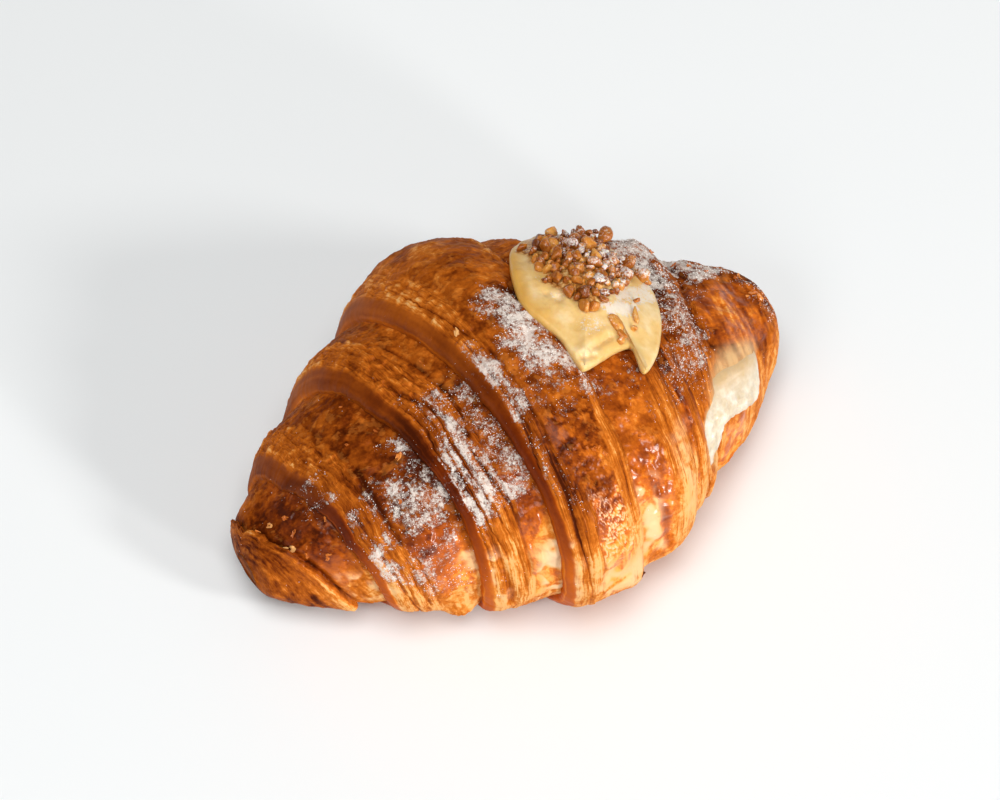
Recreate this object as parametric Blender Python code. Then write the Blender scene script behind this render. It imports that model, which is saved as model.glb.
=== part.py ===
"""Caramel croissant: a laminated pastry body with overlapping dough bands, a custard
filling that shows at one end, and a petal of custard topped with chopped nuts.
Units are metres, the table is z = 0, and the long axis is X."""

import math
import random

import bmesh
import bpy
import numpy as np
from mathutils import Matrix, Vector

MM = 0.001

# Sections of the smooth pastry form, all in millimetres
SECTION_X = (-77.5, -66.5, -48.0, -27.0, -4.0, 19.5, 40.5, 60.5, 72.0, 77.5)
HALF_WIDTH = (9.7, 18.5, 31.9, 42.8, 52.6, 47.6, 37.2, 24.7, 16.2, 12.0)
SIDE_SHIFT = (-0.9, -0.7, -1.5, -0.4, -2.6, -3.5, 0.4, 1.9, 4.8, 4.0)
TOP_HEIGHT = (23.7, 32.7, 47.3, 57.8, 67.7, 61.6, 52.1, 39.7, 31.0, 30.0)
BASE_HEIGHT = (7.0, 3.0, 0.0, -3.0, -5.0, -5.0, -3.0, 0.0, 3.0, 8.0)
CENTRE_SHARE = 0.46
ROUNDNESS = 2.25

# How the two ends close, in millimetres
TIP_X = -78.8
TIP_ROUNDING = 3.2
END_X = 81.4
END_ROUNDING = 9.0

# Band edges, left to right: which way the surface steps, then x = start + lean * angle
# + bow * angle squared, then the step height
EDGES = (
    ("fall", -74.8, 4.8, 2.1, 1.6),
    ("rise", -62.8, 4.95, 0.93, 3.4),
    ("rise", -38.2, 7.6, -1.4, 4.0),
    ("rise", -18.9, 6.6, -1.5, 4.2),
    ("fall", 9.6, 0.0, 0.0, 2.2),
    ("fall", 28.0, 5.0, -2.4, 2.0),
    ("fall", 38.5, -2.2, 0.6, 1.4),
    ("fall", 50.6, -5.5, -0.8, 3.0),
)
LEAST_BAND = 2.4
FOLD_START = 1.95
RISER_RUN = 2.7
DROP_RUN = 1.5
UNDERCUT = 0.7
NARROW = 0.3
CREASE_WIDTH = 0.9
CROWN = 0.045
RIDGE_HEIGHT = 0.38
RIDGE_ZONE = 6.5
RIDGES_IN_ZONE = 4

# Slow unevenness of the dough: waves per millimetre and per turn, phase, height
LUMPS = (
    (0.11, 2.0, 0.4, 0.30),
    (-0.07, 3.0, 2.1, 0.35),
    (0.17, 4.0, 4.0, 0.22),
    (0.05, -5.0, 1.2, 0.25),
)
# Local swellings, as x, degrees, height and reach: a hanging lip at the front, a bulge at the back
SWELLINGS = (
    (-32.5, 113.0, 3.6, 5.0),
    (43.0, -42.0, 1.8, 7.0),
)

# Mesh density
ANGLE_STEPS = 44
RISER_COLUMNS = 4
SKIN_COLUMNS = 4
END_COLUMNS = 7

# Custard petal on top: outline as x in millimetres and angle from the crest in degrees
PETAL_OUTLINE = (
    (2.8, -2.0),
    (4.2, -14.0),
    (8.0, -27.0),
    (14.5, -38.0),
    (23.0, -45.0),
    (33.5, -42.0),
    (39.3, -28.0),
    (41.0, -8.0),
    (39.6, 9.0),
    (35.0, 25.0),
    (29.5, 31.0),
    (23.8, 34.5),
    (22.0, 25.5),
    (16.0, 25.5),
    (7.0, 28.5),
    (9.0, 17.0),
    (5.2, 6.5),
)
PETAL_CENTRE = (23.5, -9.0)
PETAL_STEPS = 44
PETAL_PROFILE = ((0.0, 8.2), (0.25, 8.0), (0.5, 6.8), (0.75, 5.4), (0.93, 4.2))
PETAL_DEPTH = 5.0
PETAL_LIP = 2.4

# Chopped nuts on the petal
NUT_COUNT = 104
NUT_SMALLEST = 2.3
NUT_LARGEST = 3.7
NUT_HEAP = (26.0, -15.0)
NUT_HEAP_REACH = (11.5, 22.0)
NUT_SHOWING = 0.22
NUT_SPACING = 0.8
NUT_SEED = 11
LOOSE_NUTS = ((12.0, -27.0, 2.9), (15.0, -26.0, 2.6), (21.5, 14.0, 3.3), (23.0, 19.0, 2.9), (28.5, 15.0, 2.7))

# Filling: the outline of the patch that shows at the end, and the core behind it
PATCH_OUTLINE = (
    (48.5, 46.0),
    (57.5, 45.0),
    (64.5, 50.0),
    (63.5, 62.0),
    (60.5, 77.0),
    (55.0, 76.0),
    (47.0, 72.5),
    (42.0, 76.0),
    (38.6, 84.0),
    (36.8, 75.0),
    (37.0, 62.0),
    (42.5, 54.0),
)
PATCH_CENTRE = (49.5, 62.0)
PATCH_STEPS = 32
PATCH_PROUD = 0.9
PATCH_DEPTH = 27.0
CORE_X = (60.0, 54.0, 44.0, 30.0, 14.0, 0.0, -6.0)
CORE_RADIUS = (3.0, 8.0, 11.0, 12.0, 11.0, 7.0, 2.5)
CORE_STEPS = 16

CLEARANCE = 0.3
ARC_RADIUS = 38.0


def between(xs, ys, x):
    """Monotone cubic through the section values."""
    xs = np.asarray(xs, float)
    ys = np.asarray(ys, float)
    h = np.diff(xs)
    d = np.diff(ys) / h
    m = np.zeros(len(xs))
    for i in range(1, len(xs) - 1):
        if d[i - 1] * d[i] > 0:
            a = 2 * h[i] + h[i - 1]
            b = h[i] + 2 * h[i - 1]
            m[i] = (a + b) / (a / d[i - 1] + b / d[i])
    m[0] = d[0]
    m[-1] = d[-1]
    x = np.clip(x, xs[0], xs[-1])
    i = np.clip(np.searchsorted(xs, x) - 1, 0, len(xs) - 2)
    t = (x - xs[i]) / h[i]
    rise = (3 * t**2 - 2 * t**3) * (ys[i + 1] - ys[i])
    return ys[i] + rise + h[i] * ((t**3 - 2 * t**2 + t) * m[i] + (t**3 - t**2) * m[i + 1])


def smooth(t):
    t = np.clip(t, 0.0, 1.0)
    return t * t * (3 - 2 * t)


def closing(x):
    """1 along the body, falling to 0 at the two ends."""
    left = np.clip((x - TIP_X) / TIP_ROUNDING, 0.0, 1.0)
    right = np.clip((END_X - x) / END_ROUNDING, 0.0, 1.0)
    left = np.sqrt(1 - (1 - left) ** 2)
    right = np.sqrt(1 - (1 - right) ** 2)
    return left * right


def place(x, angle, lift):
    """The point at x and angle (0 at the crest, positive to the front), lifted off the form."""
    width = between(SECTION_X, HALF_WIDTH, x)
    shift = between(SECTION_X, SIDE_SHIFT, x)
    top = between(SECTION_X, TOP_HEIGHT, x)
    base = between(SECTION_X, BASE_HEIGHT, x)
    centre = base + CENTRE_SHARE * (top - base)
    tall = np.where(np.cos(angle) > 0, top - centre, centre - base)
    form = np.abs(np.sin(angle) / width) ** ROUNDNESS + np.abs(np.cos(angle) / tall) ** ROUNDNESS
    reach = (form ** (-1 / ROUNDNESS) + lift) * closing(x)
    y = shift - reach * np.sin(angle)
    z = centre + reach * np.cos(angle)
    return np.stack([x + 0 * angle, y, z], -1) * MM


def folded(angle):
    """The angle as the band edges see it: it returns to 0 under the body, so each edge closes."""
    away = (np.abs(angle) - FOLD_START) / (math.pi - FOLD_START)
    return angle * (1 - smooth(away))


def edge_feet(angle):
    """x of every band edge, left to right, never closer than LEAST_BAND."""
    s = folded(angle)
    feet = []
    last = np.full_like(s, TIP_X)
    for _, start, lean, bow, _ in EDGES:
        last = np.maximum(start + lean * s + bow * s * s, last + LEAST_BAND)
        feet.append(last)
    return feet


def lumps(x, angle):
    """Uneven swelling of the dough."""
    total = 0.0
    for per_mm, turns, phase, height in LUMPS:
        total = total + height * np.sin(per_mm * x + turns * angle + phase)
    for middle, degrees, height, reach in SWELLINGS:
        arc = (angle - math.radians(degrees)) * ARC_RADIUS
        total = total + height * np.exp(-((x - middle) ** 2 + arc**2) / reach**2)
    return total


def riser(start, run, half):
    """Columns of a rounded riser, tucked in below, from its crease to its crest."""
    columns = []
    for k in range(RISER_COLUMNS):
        turn = k / RISER_COLUMNS * math.pi / 2
        up = math.sin(turn)
        tuck = UNDERCUT * math.sin(math.pi * up) if up < 0.8 else 0.0
        columns.append((start + run * (1 - math.cos(turn)) - tuck, half * (2 * up - 1) + 0 * run))
    return columns


def body_columns(angle):
    """(x, lift) of every column of the body, from the tip to the far end."""
    kinds = ["start"] + [edge[0] for edge in EDGES] + ["end"]
    halves = [0.0] + [edge[4] / 2 for edge in EDGES] + [0.0]
    feet = [np.full_like(angle, TIP_X)] + edge_feet(angle) + [np.full_like(angle, END_X)]
    columns = []
    for n in range(len(feet) - 1):
        first, last = feet[n], feet[n + 1]
        width = last - first
        begin, finish = -halves[n], -halves[n + 1]
        if kinds[n] == "rise":
            run = np.minimum(RISER_RUN, NARROW * width)
            columns += riser(first, run, halves[n])
            first = first + run
            begin = halves[n]
        drop = np.minimum(DROP_RUN, NARROW * width)
        if kinds[n + 1] == "fall":
            last = last - drop
            finish = halves[n + 1]
        span = last - first
        if kinds[n] == "rise":
            zone = np.minimum(RIDGE_ZONE, 0.4 * width) / span
            steps = range(RIDGES_IN_ZONE + 1)
            shares = [(zone * k / RIDGES_IN_ZONE, RIDGE_HEIGHT * (-1) ** k) for k in steps]
            shares += [(zone + (1 - zone) * k / SKIN_COLUMNS, 0.0) for k in range(1, SKIN_COLUMNS)]
        else:
            count = END_COLUMNS if kinds[n + 1] == "end" else SKIN_COLUMNS
            shares = [(k / count, 0.0) for k in range(1 if n == 0 else 0, count)]
        for share, ridge in shares:
            crown = 4 * CROWN * width * share * (1 - share)
            columns.append((first + span * share, begin + (finish - begin) * smooth(share) + crown + ridge))
        if kinds[n + 1] == "fall":
            columns.append((last, finish + 0 * drop))
            columns.append((last + 0.7 * drop, 0.4 * finish + 0 * drop))
        elif kinds[n + 1] == "rise":
            columns.append((last - CREASE_WIDTH, finish + 0 * width))
    return columns


def loft(name, rings, start_pole, end_pole):
    """A closed skin through rings of points, with a pole at each end."""
    mesh = bmesh.new()
    rows = [[mesh.verts.new(Vector(p)) for p in ring] for ring in rings]
    count = len(rows[0])
    for near, far in zip(rows[:-1], rows[1:]):
        for j in range(count):
            k = (j + 1) % count
            mesh.faces.new((near[j], near[k], far[k]))
            mesh.faces.new((near[j], far[k], far[j]))
    first = mesh.verts.new(Vector(start_pole))
    last = mesh.verts.new(Vector(end_pole))
    for j in range(count):
        k = (j + 1) % count
        mesh.faces.new((first, rows[0][k], rows[0][j]))
        mesh.faces.new((last, rows[-1][j], rows[-1][k]))
    bmesh.ops.recalc_face_normals(mesh, faces=mesh.faces)
    data = bpy.data.meshes.new(name)
    mesh.to_mesh(data)
    mesh.free()
    return bpy.data.objects.new(name, data)


def body_form(name, grow):
    """The pastry body, grown outwards by grow millimetres."""
    angle = np.linspace(-math.pi, math.pi, ANGLE_STEPS, endpoint=False)
    rings = [place(x, angle, lift + lumps(x, angle)) for x, lift in body_columns(angle)]
    start = place(np.array([TIP_X]), np.array([0.0]), 0.0)[0]
    end = place(np.array([END_X]), np.array([0.0]), 0.0)[0]
    body = loft(name, rings, start, end)
    if grow:
        mesh = bmesh.new()
        mesh.from_mesh(body.data)
        mesh.normal_update()
        moves = [v.normal * grow * MM for v in mesh.verts]
        for v, move in zip(mesh.verts, moves):
            v.co += move
        mesh.to_mesh(body.data)
        mesh.free()
    return body


def closed_spline(points, count):
    """count points of a closed Catmull-Rom curve through the given points."""
    points = np.asarray(points, float)
    n = len(points)
    t = np.arange(count) * n / count
    i = t.astype(int)
    f = (t - i)[:, None]
    p0, p1, p2, p3 = (points[(i + k) % n] for k in (-1, 0, 1, 2))
    bend = (2 * p0 - 5 * p1 + 4 * p2 - p3) * f**2 + (3 * p1 - p0 - 3 * p2 + p3) * f**3
    return 0.5 * (2 * p1 + (p2 - p0) * f + bend)


def patch_solid(name, outline, centre, steps, rings, grow):
    """A pillow laid on the form: rings of (share of the outline, lift), grown sideways by grow."""
    scale = np.array((1.0, math.radians(1.0) * ARC_RADIUS))
    rim = closed_spline(outline, steps) * scale
    middle = np.array(centre) * scale
    along = np.roll(rim, -1, axis=0) - np.roll(rim, 1, axis=0)
    outward = np.stack([along[:, 1], -along[:, 0]], -1)
    outward /= np.linalg.norm(outward, axis=1)[:, None]
    outward *= np.sign(np.sum(outward * (rim - middle), axis=1).sum())
    loops = []
    for share, lift in rings:
        p = (middle + (rim - middle) * share + outward * grow) / scale
        loops.append(place(p[:, 0], np.radians(p[:, 1]), np.full(steps, lift)))
    middle = middle / scale
    start = place(np.array([middle[0]]), np.radians([middle[1]]), rings[0][1] + 0.1)[0]
    end = place(np.array([middle[0]]), np.radians([middle[1]]), rings[-1][1])[0]
    return loft(name, loops, start, end)


def core_solid(name, grow):
    """The filling inside the body: a tapering round core on its own centre line."""
    angle = np.linspace(0, 2 * math.pi, CORE_STEPS, endpoint=False)
    loops = []
    poles = []
    for x, radius in zip(CORE_X, CORE_RADIUS):
        top = between(SECTION_X, TOP_HEIGHT, x)
        base = between(SECTION_X, BASE_HEIGHT, x)
        y = float(between(SECTION_X, SIDE_SHIFT, x))
        z = float(base + CENTRE_SHARE * (top - base))
        wide = radius + grow
        ring = np.stack([0 * angle + x, y + wide * np.cos(angle), z + wide * np.sin(angle)], -1)
        loops.append(ring * MM)
        poles.append(np.array([x, y, z]) * MM)
    start = poles[0] + np.array([(1.5 + grow) * MM, 0, 0])
    end = poles[-1] - np.array([(1.5 + grow) * MM, 0, 0])
    return loft(name, loops, start, end)


def add(thing, group):
    group.objects.link(thing)
    return thing


def apply_boolean(target, cutter, operation):
    """Applies one Boolean of cutter, an object or a collection, on target."""
    tool = target.modifiers.new("fit", "BOOLEAN")
    tool.operation = operation
    tool.solver = "EXACT"
    if isinstance(cutter, bpy.types.Collection):
        tool.operand_type = "COLLECTION"
        tool.collection = cutter
    else:
        tool.object = cutter
    bpy.context.view_layer.update()
    bpy.context.view_layer.objects.active = target
    target.select_set(True)
    bpy.ops.object.modifier_apply(modifier=tool.name)
    target.select_set(False)


def drop_scraps(thing):
    """Keeps the largest connected piece of the mesh and joins coincident points."""
    mesh = bmesh.new()
    mesh.from_mesh(thing.data)
    bmesh.ops.remove_doubles(mesh, verts=mesh.verts, dist=0.00001)
    bmesh.ops.dissolve_degenerate(mesh, edges=mesh.edges, dist=0.00001)
    left = set(mesh.verts)
    pieces = []
    while left:
        todo = [left.pop()]
        piece = set(todo)
        while todo:
            for e in todo.pop().link_edges:
                for v in e.verts:
                    if v in left:
                        left.remove(v)
                        piece.add(v)
                        todo.append(v)
        pieces.append(piece)
    pieces.sort(key=len)
    scraps = [v for piece in pieces[:-1] for v in piece]
    bmesh.ops.delete(mesh, geom=scraps, context="VERTS")
    bmesh.ops.triangulate(mesh, faces=mesh.faces)
    mesh.to_mesh(thing.data)
    mesh.free()


def material(name, colour, roughness):
    made = bpy.data.materials.new(name)
    made.use_nodes = True
    shader = made.node_tree.nodes["Principled BSDF"]
    shader.inputs["Base Color"].default_value = (*colour, 1.0)
    shader.inputs["Roughness"].default_value = roughness
    shader.inputs["Metallic"].default_value = 0.0
    made.diffuse_color = (*colour, 1.0)
    return made


def nut(name, x, degrees, size, lift, rng):
    """A chip of chopped nut: a small icosphere with uneven corners."""
    bpy.ops.mesh.primitive_ico_sphere_add(subdivisions=1, radius=size * 0.5 * MM)
    made = bpy.context.active_object
    made.name = name
    angle = math.radians(degrees)
    foot = place(np.array([x]), np.array([angle]), lift)[0]
    for v in made.data.vertices:
        v.co *= 1 + rng.uniform(-0.16, 0.16)
    shape = Matrix.Diagonal((1.0, rng.uniform(0.75, 1.0), rng.uniform(0.6, 0.85), 1.0))
    turn = Matrix.Rotation(rng.uniform(0, 6.28), 4, "Z") @ Matrix.Rotation(rng.uniform(0, 1.2), 4, "X")
    lean = Matrix.Rotation(angle, 4, "X")
    made.matrix_world = Matrix.Translation(Vector(foot)) @ lean @ turn @ shape
    return made


def petal_height(x, degrees):
    """How far the top of the petal stands off the form at x and degrees."""
    scale = np.array((1.0, math.radians(1.0) * ARC_RADIUS))
    middle = np.array(PETAL_CENTRE) * scale
    rim = closed_spline(PETAL_OUTLINE, PETAL_STEPS) * scale - middle
    point = np.array((x, degrees)) * scale - middle
    turns = np.arctan2(rim[:, 1], rim[:, 0])
    order = np.argsort(turns)
    reach = np.hypot(rim[:, 0], rim[:, 1])[order]
    share = np.hypot(*point) / np.interp(math.atan2(point[1], point[0]), turns[order], reach)
    shares, heights = zip(*PETAL_PROFILE)
    return float(np.interp(share, shares, heights))


def nut_spots(rng):
    """Seeded spots for the heap of nuts, none closer than most of its own size."""
    spots = list(LOOSE_NUTS)
    tries = 0
    while len(spots) < NUT_COUNT and tries < 6000:
        tries += 1
        turn = rng.uniform(0, 2 * math.pi)
        share = rng.random() ** 0.6
        x = NUT_HEAP[0] + NUT_HEAP_REACH[0] * share * math.cos(turn)
        degrees = NUT_HEAP[1] + NUT_HEAP_REACH[1] * share * math.sin(turn)
        size = rng.uniform(NUT_SMALLEST, NUT_LARGEST)
        near = NUT_SPACING * size
        if all(math.hypot(x - a, math.radians(degrees - b) * ARC_RADIUS) > near for a, b, _ in spots):
            spots.append((x, degrees, size))
    return spots


def main():
    for old in list(bpy.data.objects):
        bpy.data.objects.remove(old, do_unlink=True)
    scene = bpy.context.scene.collection
    parts = bpy.data.collections.new("caramel_croissant")
    cutters = bpy.data.collections.new("cutters")
    grains = bpy.data.collections.new("grains")
    for group in (parts, cutters, grains):
        scene.children.link(group)

    # Pastry body, flat where it rests
    body = add(body_form("croissant_body", 0.0), parts)
    wide = add(body_form("body_clearance", CLEARANCE + 0.05), cutters)
    bpy.ops.mesh.primitive_cube_add(size=1.0, location=(0, 0, -0.05), scale=(0.3, 0.3, 0.1))
    table = bpy.context.active_object
    table.name = "table_cutter"
    for group in list(table.users_collection):
        group.objects.unlink(table)
    cutters.objects.link(table)
    apply_boolean(body, table, "DIFFERENCE")

    # Filling: the patch that shows, joined to its core, and the same shape grown for the hollow
    patch = (PATCH_OUTLINE, PATCH_CENTRE, PATCH_STEPS)
    inside = ((0.94, -3.0), (0.75, -12.0), (0.5, -PATCH_DEPTH))
    rings = ((0.6, PATCH_PROUD), (0.92, PATCH_PROUD * 0.7), (1.0, 0.0)) + inside
    filling = add(patch_solid("cream_filling", *patch, rings, 0.0), parts)
    core = add(core_solid("core", 0.0), cutters)
    apply_boolean(filling, core, "UNION")
    inside = inside[:-1] + ((0.5, -PATCH_DEPTH - CLEARANCE),)
    rings = ((0.6, PATCH_PROUD + 3.0), (1.0, PATCH_PROUD + 3.0), (1.0, 0.0)) + inside
    hollow = add(patch_solid("hollow", *patch, rings, CLEARANCE), cutters)
    grown = add(core_solid("core_clearance", CLEARANCE), cutters)
    apply_boolean(hollow, grown, "UNION")
    apply_boolean(body, hollow, "DIFFERENCE")

    # Custard petal with its nuts, cut to sit on the body
    rim = ((1.0, PETAL_LIP), (0.97, 0.2), (0.93, -PETAL_DEPTH), (0.4, -PETAL_DEPTH))
    rings = PETAL_PROFILE[1:] + rim
    petal = add(patch_solid("cream_topping", PETAL_OUTLINE, PETAL_CENTRE, PETAL_STEPS, rings, 0.0), parts)
    apply_boolean(petal, wide, "DIFFERENCE")
    drop_scraps(petal)
    rng = random.Random(NUT_SEED)
    for n, (x, degrees, size) in enumerate(nut_spots(rng)):
        chip = nut(f"nut_{n:02d}", x, degrees, size, petal_height(x, degrees) + NUT_SHOWING * size, rng)
        for group in list(chip.users_collection):
            group.objects.unlink(chip)
        grains.objects.link(chip)
    apply_boolean(petal, grains, "UNION")
    for chip in list(grains.objects):
        bpy.data.objects.remove(chip, do_unlink=True)

    # Finish the meshes and set the origin below the middle of the whole
    solids = (body, filling, petal)
    for thing in solids:
        drop_scraps(thing)
    corners = np.array([thing.matrix_world @ v.co for thing in solids for v in thing.data.vertices])
    middle = (corners.min(axis=0) + corners.max(axis=0)) / 2
    for thing in solids:
        thing.data.transform(Matrix.Translation((-middle[0], -middle[1], -corners[:, 2].min())))
        for face in thing.data.polygons:
            face.use_smooth = True

    body.data.materials.clear()
    body.data.materials.append(material("baked_pastry", (0.46, 0.17, 0.04), 0.35))
    filling.data.materials.clear()
    filling.data.materials.append(material("pale_custard", (0.80, 0.60, 0.36), 0.3))
    petal.data.materials.clear()
    petal.data.materials.append(material("custard_and_nuts", (0.78, 0.50, 0.20), 0.4))

    for thing in cutters.objects:
        thing.hide_render = True
        thing.display_type = "WIRE"
    cutters.hide_render = True


main()
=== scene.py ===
"""Caramel croissant: its looks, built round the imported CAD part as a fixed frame.
Units are metres and Z is up. The pastry surface is described by x along it, in millimetres,
and by an angle round it, 0 at the crest and positive to the front."""
import math

import bpy
import numpy as np
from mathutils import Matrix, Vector


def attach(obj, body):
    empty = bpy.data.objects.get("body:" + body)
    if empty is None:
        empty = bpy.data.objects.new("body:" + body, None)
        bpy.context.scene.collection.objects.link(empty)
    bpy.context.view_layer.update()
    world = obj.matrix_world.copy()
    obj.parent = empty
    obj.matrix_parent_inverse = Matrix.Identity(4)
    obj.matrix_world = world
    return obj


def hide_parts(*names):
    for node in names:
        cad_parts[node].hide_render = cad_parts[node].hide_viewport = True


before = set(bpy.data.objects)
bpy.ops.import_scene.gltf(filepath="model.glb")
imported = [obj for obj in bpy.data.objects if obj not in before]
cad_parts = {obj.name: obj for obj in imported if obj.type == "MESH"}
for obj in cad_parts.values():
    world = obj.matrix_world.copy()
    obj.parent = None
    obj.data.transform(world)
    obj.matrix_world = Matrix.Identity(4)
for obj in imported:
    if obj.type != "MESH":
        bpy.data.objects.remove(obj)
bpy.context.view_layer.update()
MM = 0.001
# From the form's own place to the part's, in millimetres
SHIFT = (-1.3, 2.54, 0.0)

# The smooth form, in millimetres, as in the CAD source
SECTION_X = (-77.5, -66.5, -48.0, -27.0, -4.0, 19.5, 40.5, 60.5, 72.0, 77.5)
HALF_WIDTH = (9.7, 18.5, 31.9, 42.8, 52.6, 47.6, 37.2, 24.7, 16.2, 12.0)
SIDE_SHIFT = (-0.9, -0.7, -1.5, -0.4, -2.6, -3.5, 0.4, 1.9, 4.8, 4.0)
TOP_HEIGHT = (23.7, 32.7, 47.3, 57.8, 67.7, 61.6, 52.1, 39.7, 31.0, 30.0)
BASE_HEIGHT = (7.0, 3.0, 0.0, -3.0, -5.0, -5.0, -3.0, 0.0, 3.0, 8.0)
CENTRE_SHARE = 0.46
ROUNDNESS = 2.25
TIP_X, TIP_ROUNDING = -78.8, 3.2
END_X, END_ROUNDING = 81.4, 9.0
# Its band edges: kind, x at the crest, lean and bow round the form, and height of the step
EDGES = (
    ("fall", -74.8, 4.8, 2.1, 1.6),
    ("rise", -62.8, 4.95, 0.93, 3.4),
    ("rise", -38.2, 7.6, -1.4, 4.0),
    ("rise", -18.9, 6.6, -1.5, 4.2),
    ("fall", 9.6, 0.0, 0.0, 2.2),
    ("fall", 28.0, 5.0, -2.4, 2.0),
    ("fall", 38.5, -2.2, 0.6, 1.4),
    ("fall", 50.6, -5.5, -0.8, 3.0),
)
KINDS = ["start"] + [e[0] for e in EDGES] + ["end"]
HALVES = [0.0] + [e[4] / 2 for e in EDGES] + [0.0]
LEAST_BAND, FOLD_START = 2.4, 1.95
RISER_RUN, DROP_RUN, UNDERCUT, NARROW = 3.4, 1.5, 0.7, 0.3
CROWN = 0.045
LUMPS = ((0.11, 2.0, 0.4, 0.30), (-0.07, 3.0, 2.1, 0.35), (0.17, 4.0, 4.0, 0.22), (0.05, -5.0, 1.2, 0.25))
SWELLINGS = ((-32.5, 113.0, 3.6, 5.0), (43.0, -42.0, 1.8, 7.0))

# Millimetres round the form for a radian, and for a degree
RADIUS = 38.0
ARC = RADIUS * math.radians(1.0)
# The same for a radian of the fine structure
FLOW_RADIUS = 42.0
# Height of the form's axis in metres
AXIS_HEIGHT = 0.02

# Custard: outline and middle in x and degrees, lift by share of the way out, folds, holes and gap
PETAL_OUTLINE = (
    (3.2, -2.5), (4.3, -13.0), (7.6, -25.5), (13.0, -37.0), (23.0, -45.0), (33.5, -42.0), (39.3, -28.0),
    (41.6, -8.0), (40.3, 8.0), (37.0, 20.0), (32.6, 28.0), (28.4, 32.0), (24.6, 34.0), (23.4, 32.6),
    (24.2, 27.0), (24.2, 23.2), (19.5, 23.2), (13.4, 25.6), (8.8, 27.2), (7.4, 25.6), (7.2, 19.5),
    (6.9, 13.0), (5.2, 6.5),
)
PETAL_CENTRE = (23.5, -9.0)
PETAL_PROFILE = ((0.0, 8.2), (0.25, 8.0), (0.5, 6.8), (0.75, 5.4), (1.0, 4.2))
PETAL_FOLDS = (((12.5, 20.5), (16, 19.0), (19.5, 17.5)), ((9.5, 22.5), (12.5, 22.8)))
PETAL_HOLES = ((12.5, -2.0, 0.9), (10.6, -5.5, 0.6))
GAP_LINE = ((4.5, -14), (7.0, -5), (9.0, 3), (10.4, 10), (10.5, 17))
# Pale filling: outline, middle, lift by share of the way out, the ridge at its top and how low its hollow is
PATCH_OUTLINE = (
    (50.5, 44.0), (57.5, 41.5), (64.5, 48.0), (64.0, 61.0), (60.8, 75.0), (55.0, 75.0),
    (48.0, 72.7), (43.0, 78.5), (38.2, 91.5), (36.5, 77.5), (37.2, 64.0), (42.8, 54.0),
)
PATCH_CENTRE = (49.5, 62.0)
PATCH_PROFILE = ((0.0, 0.8), (0.5, 0.8), (0.8, 0.7), (1.0, 0.4))
PATCH_RIDGE = ((46, 68), (51, 66), (56, 69), (60, 72))
HOLLOW_LIFT = -3.0

# Rows round the crust in degrees, fine where they are seen
FIRST_ROW, LAST_FINE_ROW = -84, 122
FINE_STEP, COARSE_STEP = 0.45, 1.55
# Columns of a riser, of a drop and of each band from the tip to the far end
RISER_COLUMNS = 11
DROP_COLUMNS = 4
BAND_COLUMNS = (22, 38, 72, 76, 88, 46, 30, 40, 58)
# How many millimetres past a riser are fine, and the share of the columns there
FINE_REACH, FINE_SHARE = 9.0, 0.52

# How far fine layers reach in from each band's near and far edge, in millimetres at angles in degrees
LAYER_ANGLES = (-180, -90, -60, -10, 0, 20, 45, 60, 75, 90, 110, 180)
NEAR_LAYERS = (
    (0,) * 12,
    (0,) * 12,
    (4, 5, 6, 7, 7.5, 8, 8, 8, 10, 12, 10, 4),
    (4, 5, 7, 9, 10.5, 11, 10, 10, 10, 11, 9, 4),
    (3, 4, 6, 6, 5.5, 4.5, 5, 7, 7, 6.5, 5, 3),
    (0,) * 12,
    (0, 0, 0, 0, 0, 0, 2, 2, 2, 2, 2, 0),
    (2, 2, 2, 2, 2, 2, 3, 3, 3, 3, 2, 2),
    (2, 2, 3, 3, 3, 4, 5, 5, 5, 5, 5, 2),
)
FAR_LAYERS = (
    (30,) * 12,
    (0,) * 12,
    (0,) * 12,
    (0,) * 12,
    (2, 2, 2, 2, 2, 2, 3.5, 4.5, 4.5, 4, 3, 2),
    (2, 2, 2, 2, 2, 3, 8, 9, 9, 9, 6, 2),
    (2, 2, 2, 2, 2, 2, 3, 4, 4, 4, 3, 2),
    (2, 2, 2, 3, 3, 3, 4, 4, 4, 4, 3, 2),
    (2, 2, 2, 3, 3, 3, 4, 4, 4, 4, 3, 2),
)

# How dark the risers are, at angles in degrees: partly browner crust and partly painted shade on faces
# turned from the light
RISER_ANGLES = (-100, -20, 5, 25, 45, 60, 80, 95)
RISER_SHADE_AND_TONE = (0.04, 0.03, 0.09, 0.12, 0.16, 0.18, 0.20, 0.16)

# Glazed skin: outlines in x and degrees, with how glossy each is
GLOSSY = (
    (((-48, 62), (-37, 58), (-33, 72), (-31, 96), (-44, 96), (-48, 80)), 1.0),
    (((-22, 48), (-15, 50), (-13.5, 70), (-13, 96), (-22, 96), (-22, 70)), 0.9),
    (((-8, 42), (5, 36), (6, 60), (-9, 60)), 0.22),
    (((-8, 60), (6, 60), (7, 96), (-8, 96)), 1.0),
    (((10, 28), (24, 32), (23, 54), (10, 54)), 0.25),
    (((10, 55), (22, 58), (20, 96), (10, 96)), 0.85),
    (((31, 36), (38, 40), (37, 60), (36, 90), (31, 90)), 0.8),
    (((44, 77), (56, 77), (52, 102), (40, 102)), 0.9),
    (((52, -10), (73, -10), (73, 50), (58, 46), (52, 30)), 0.65),
    (((-72, 50), (-60, 40), (-57, 60), (-60, 96), (-68, 80)), 0.6),
    (((-70, -30), (-60, -30), (-58, 40), (-70, 40)), 0.45),
)
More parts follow.
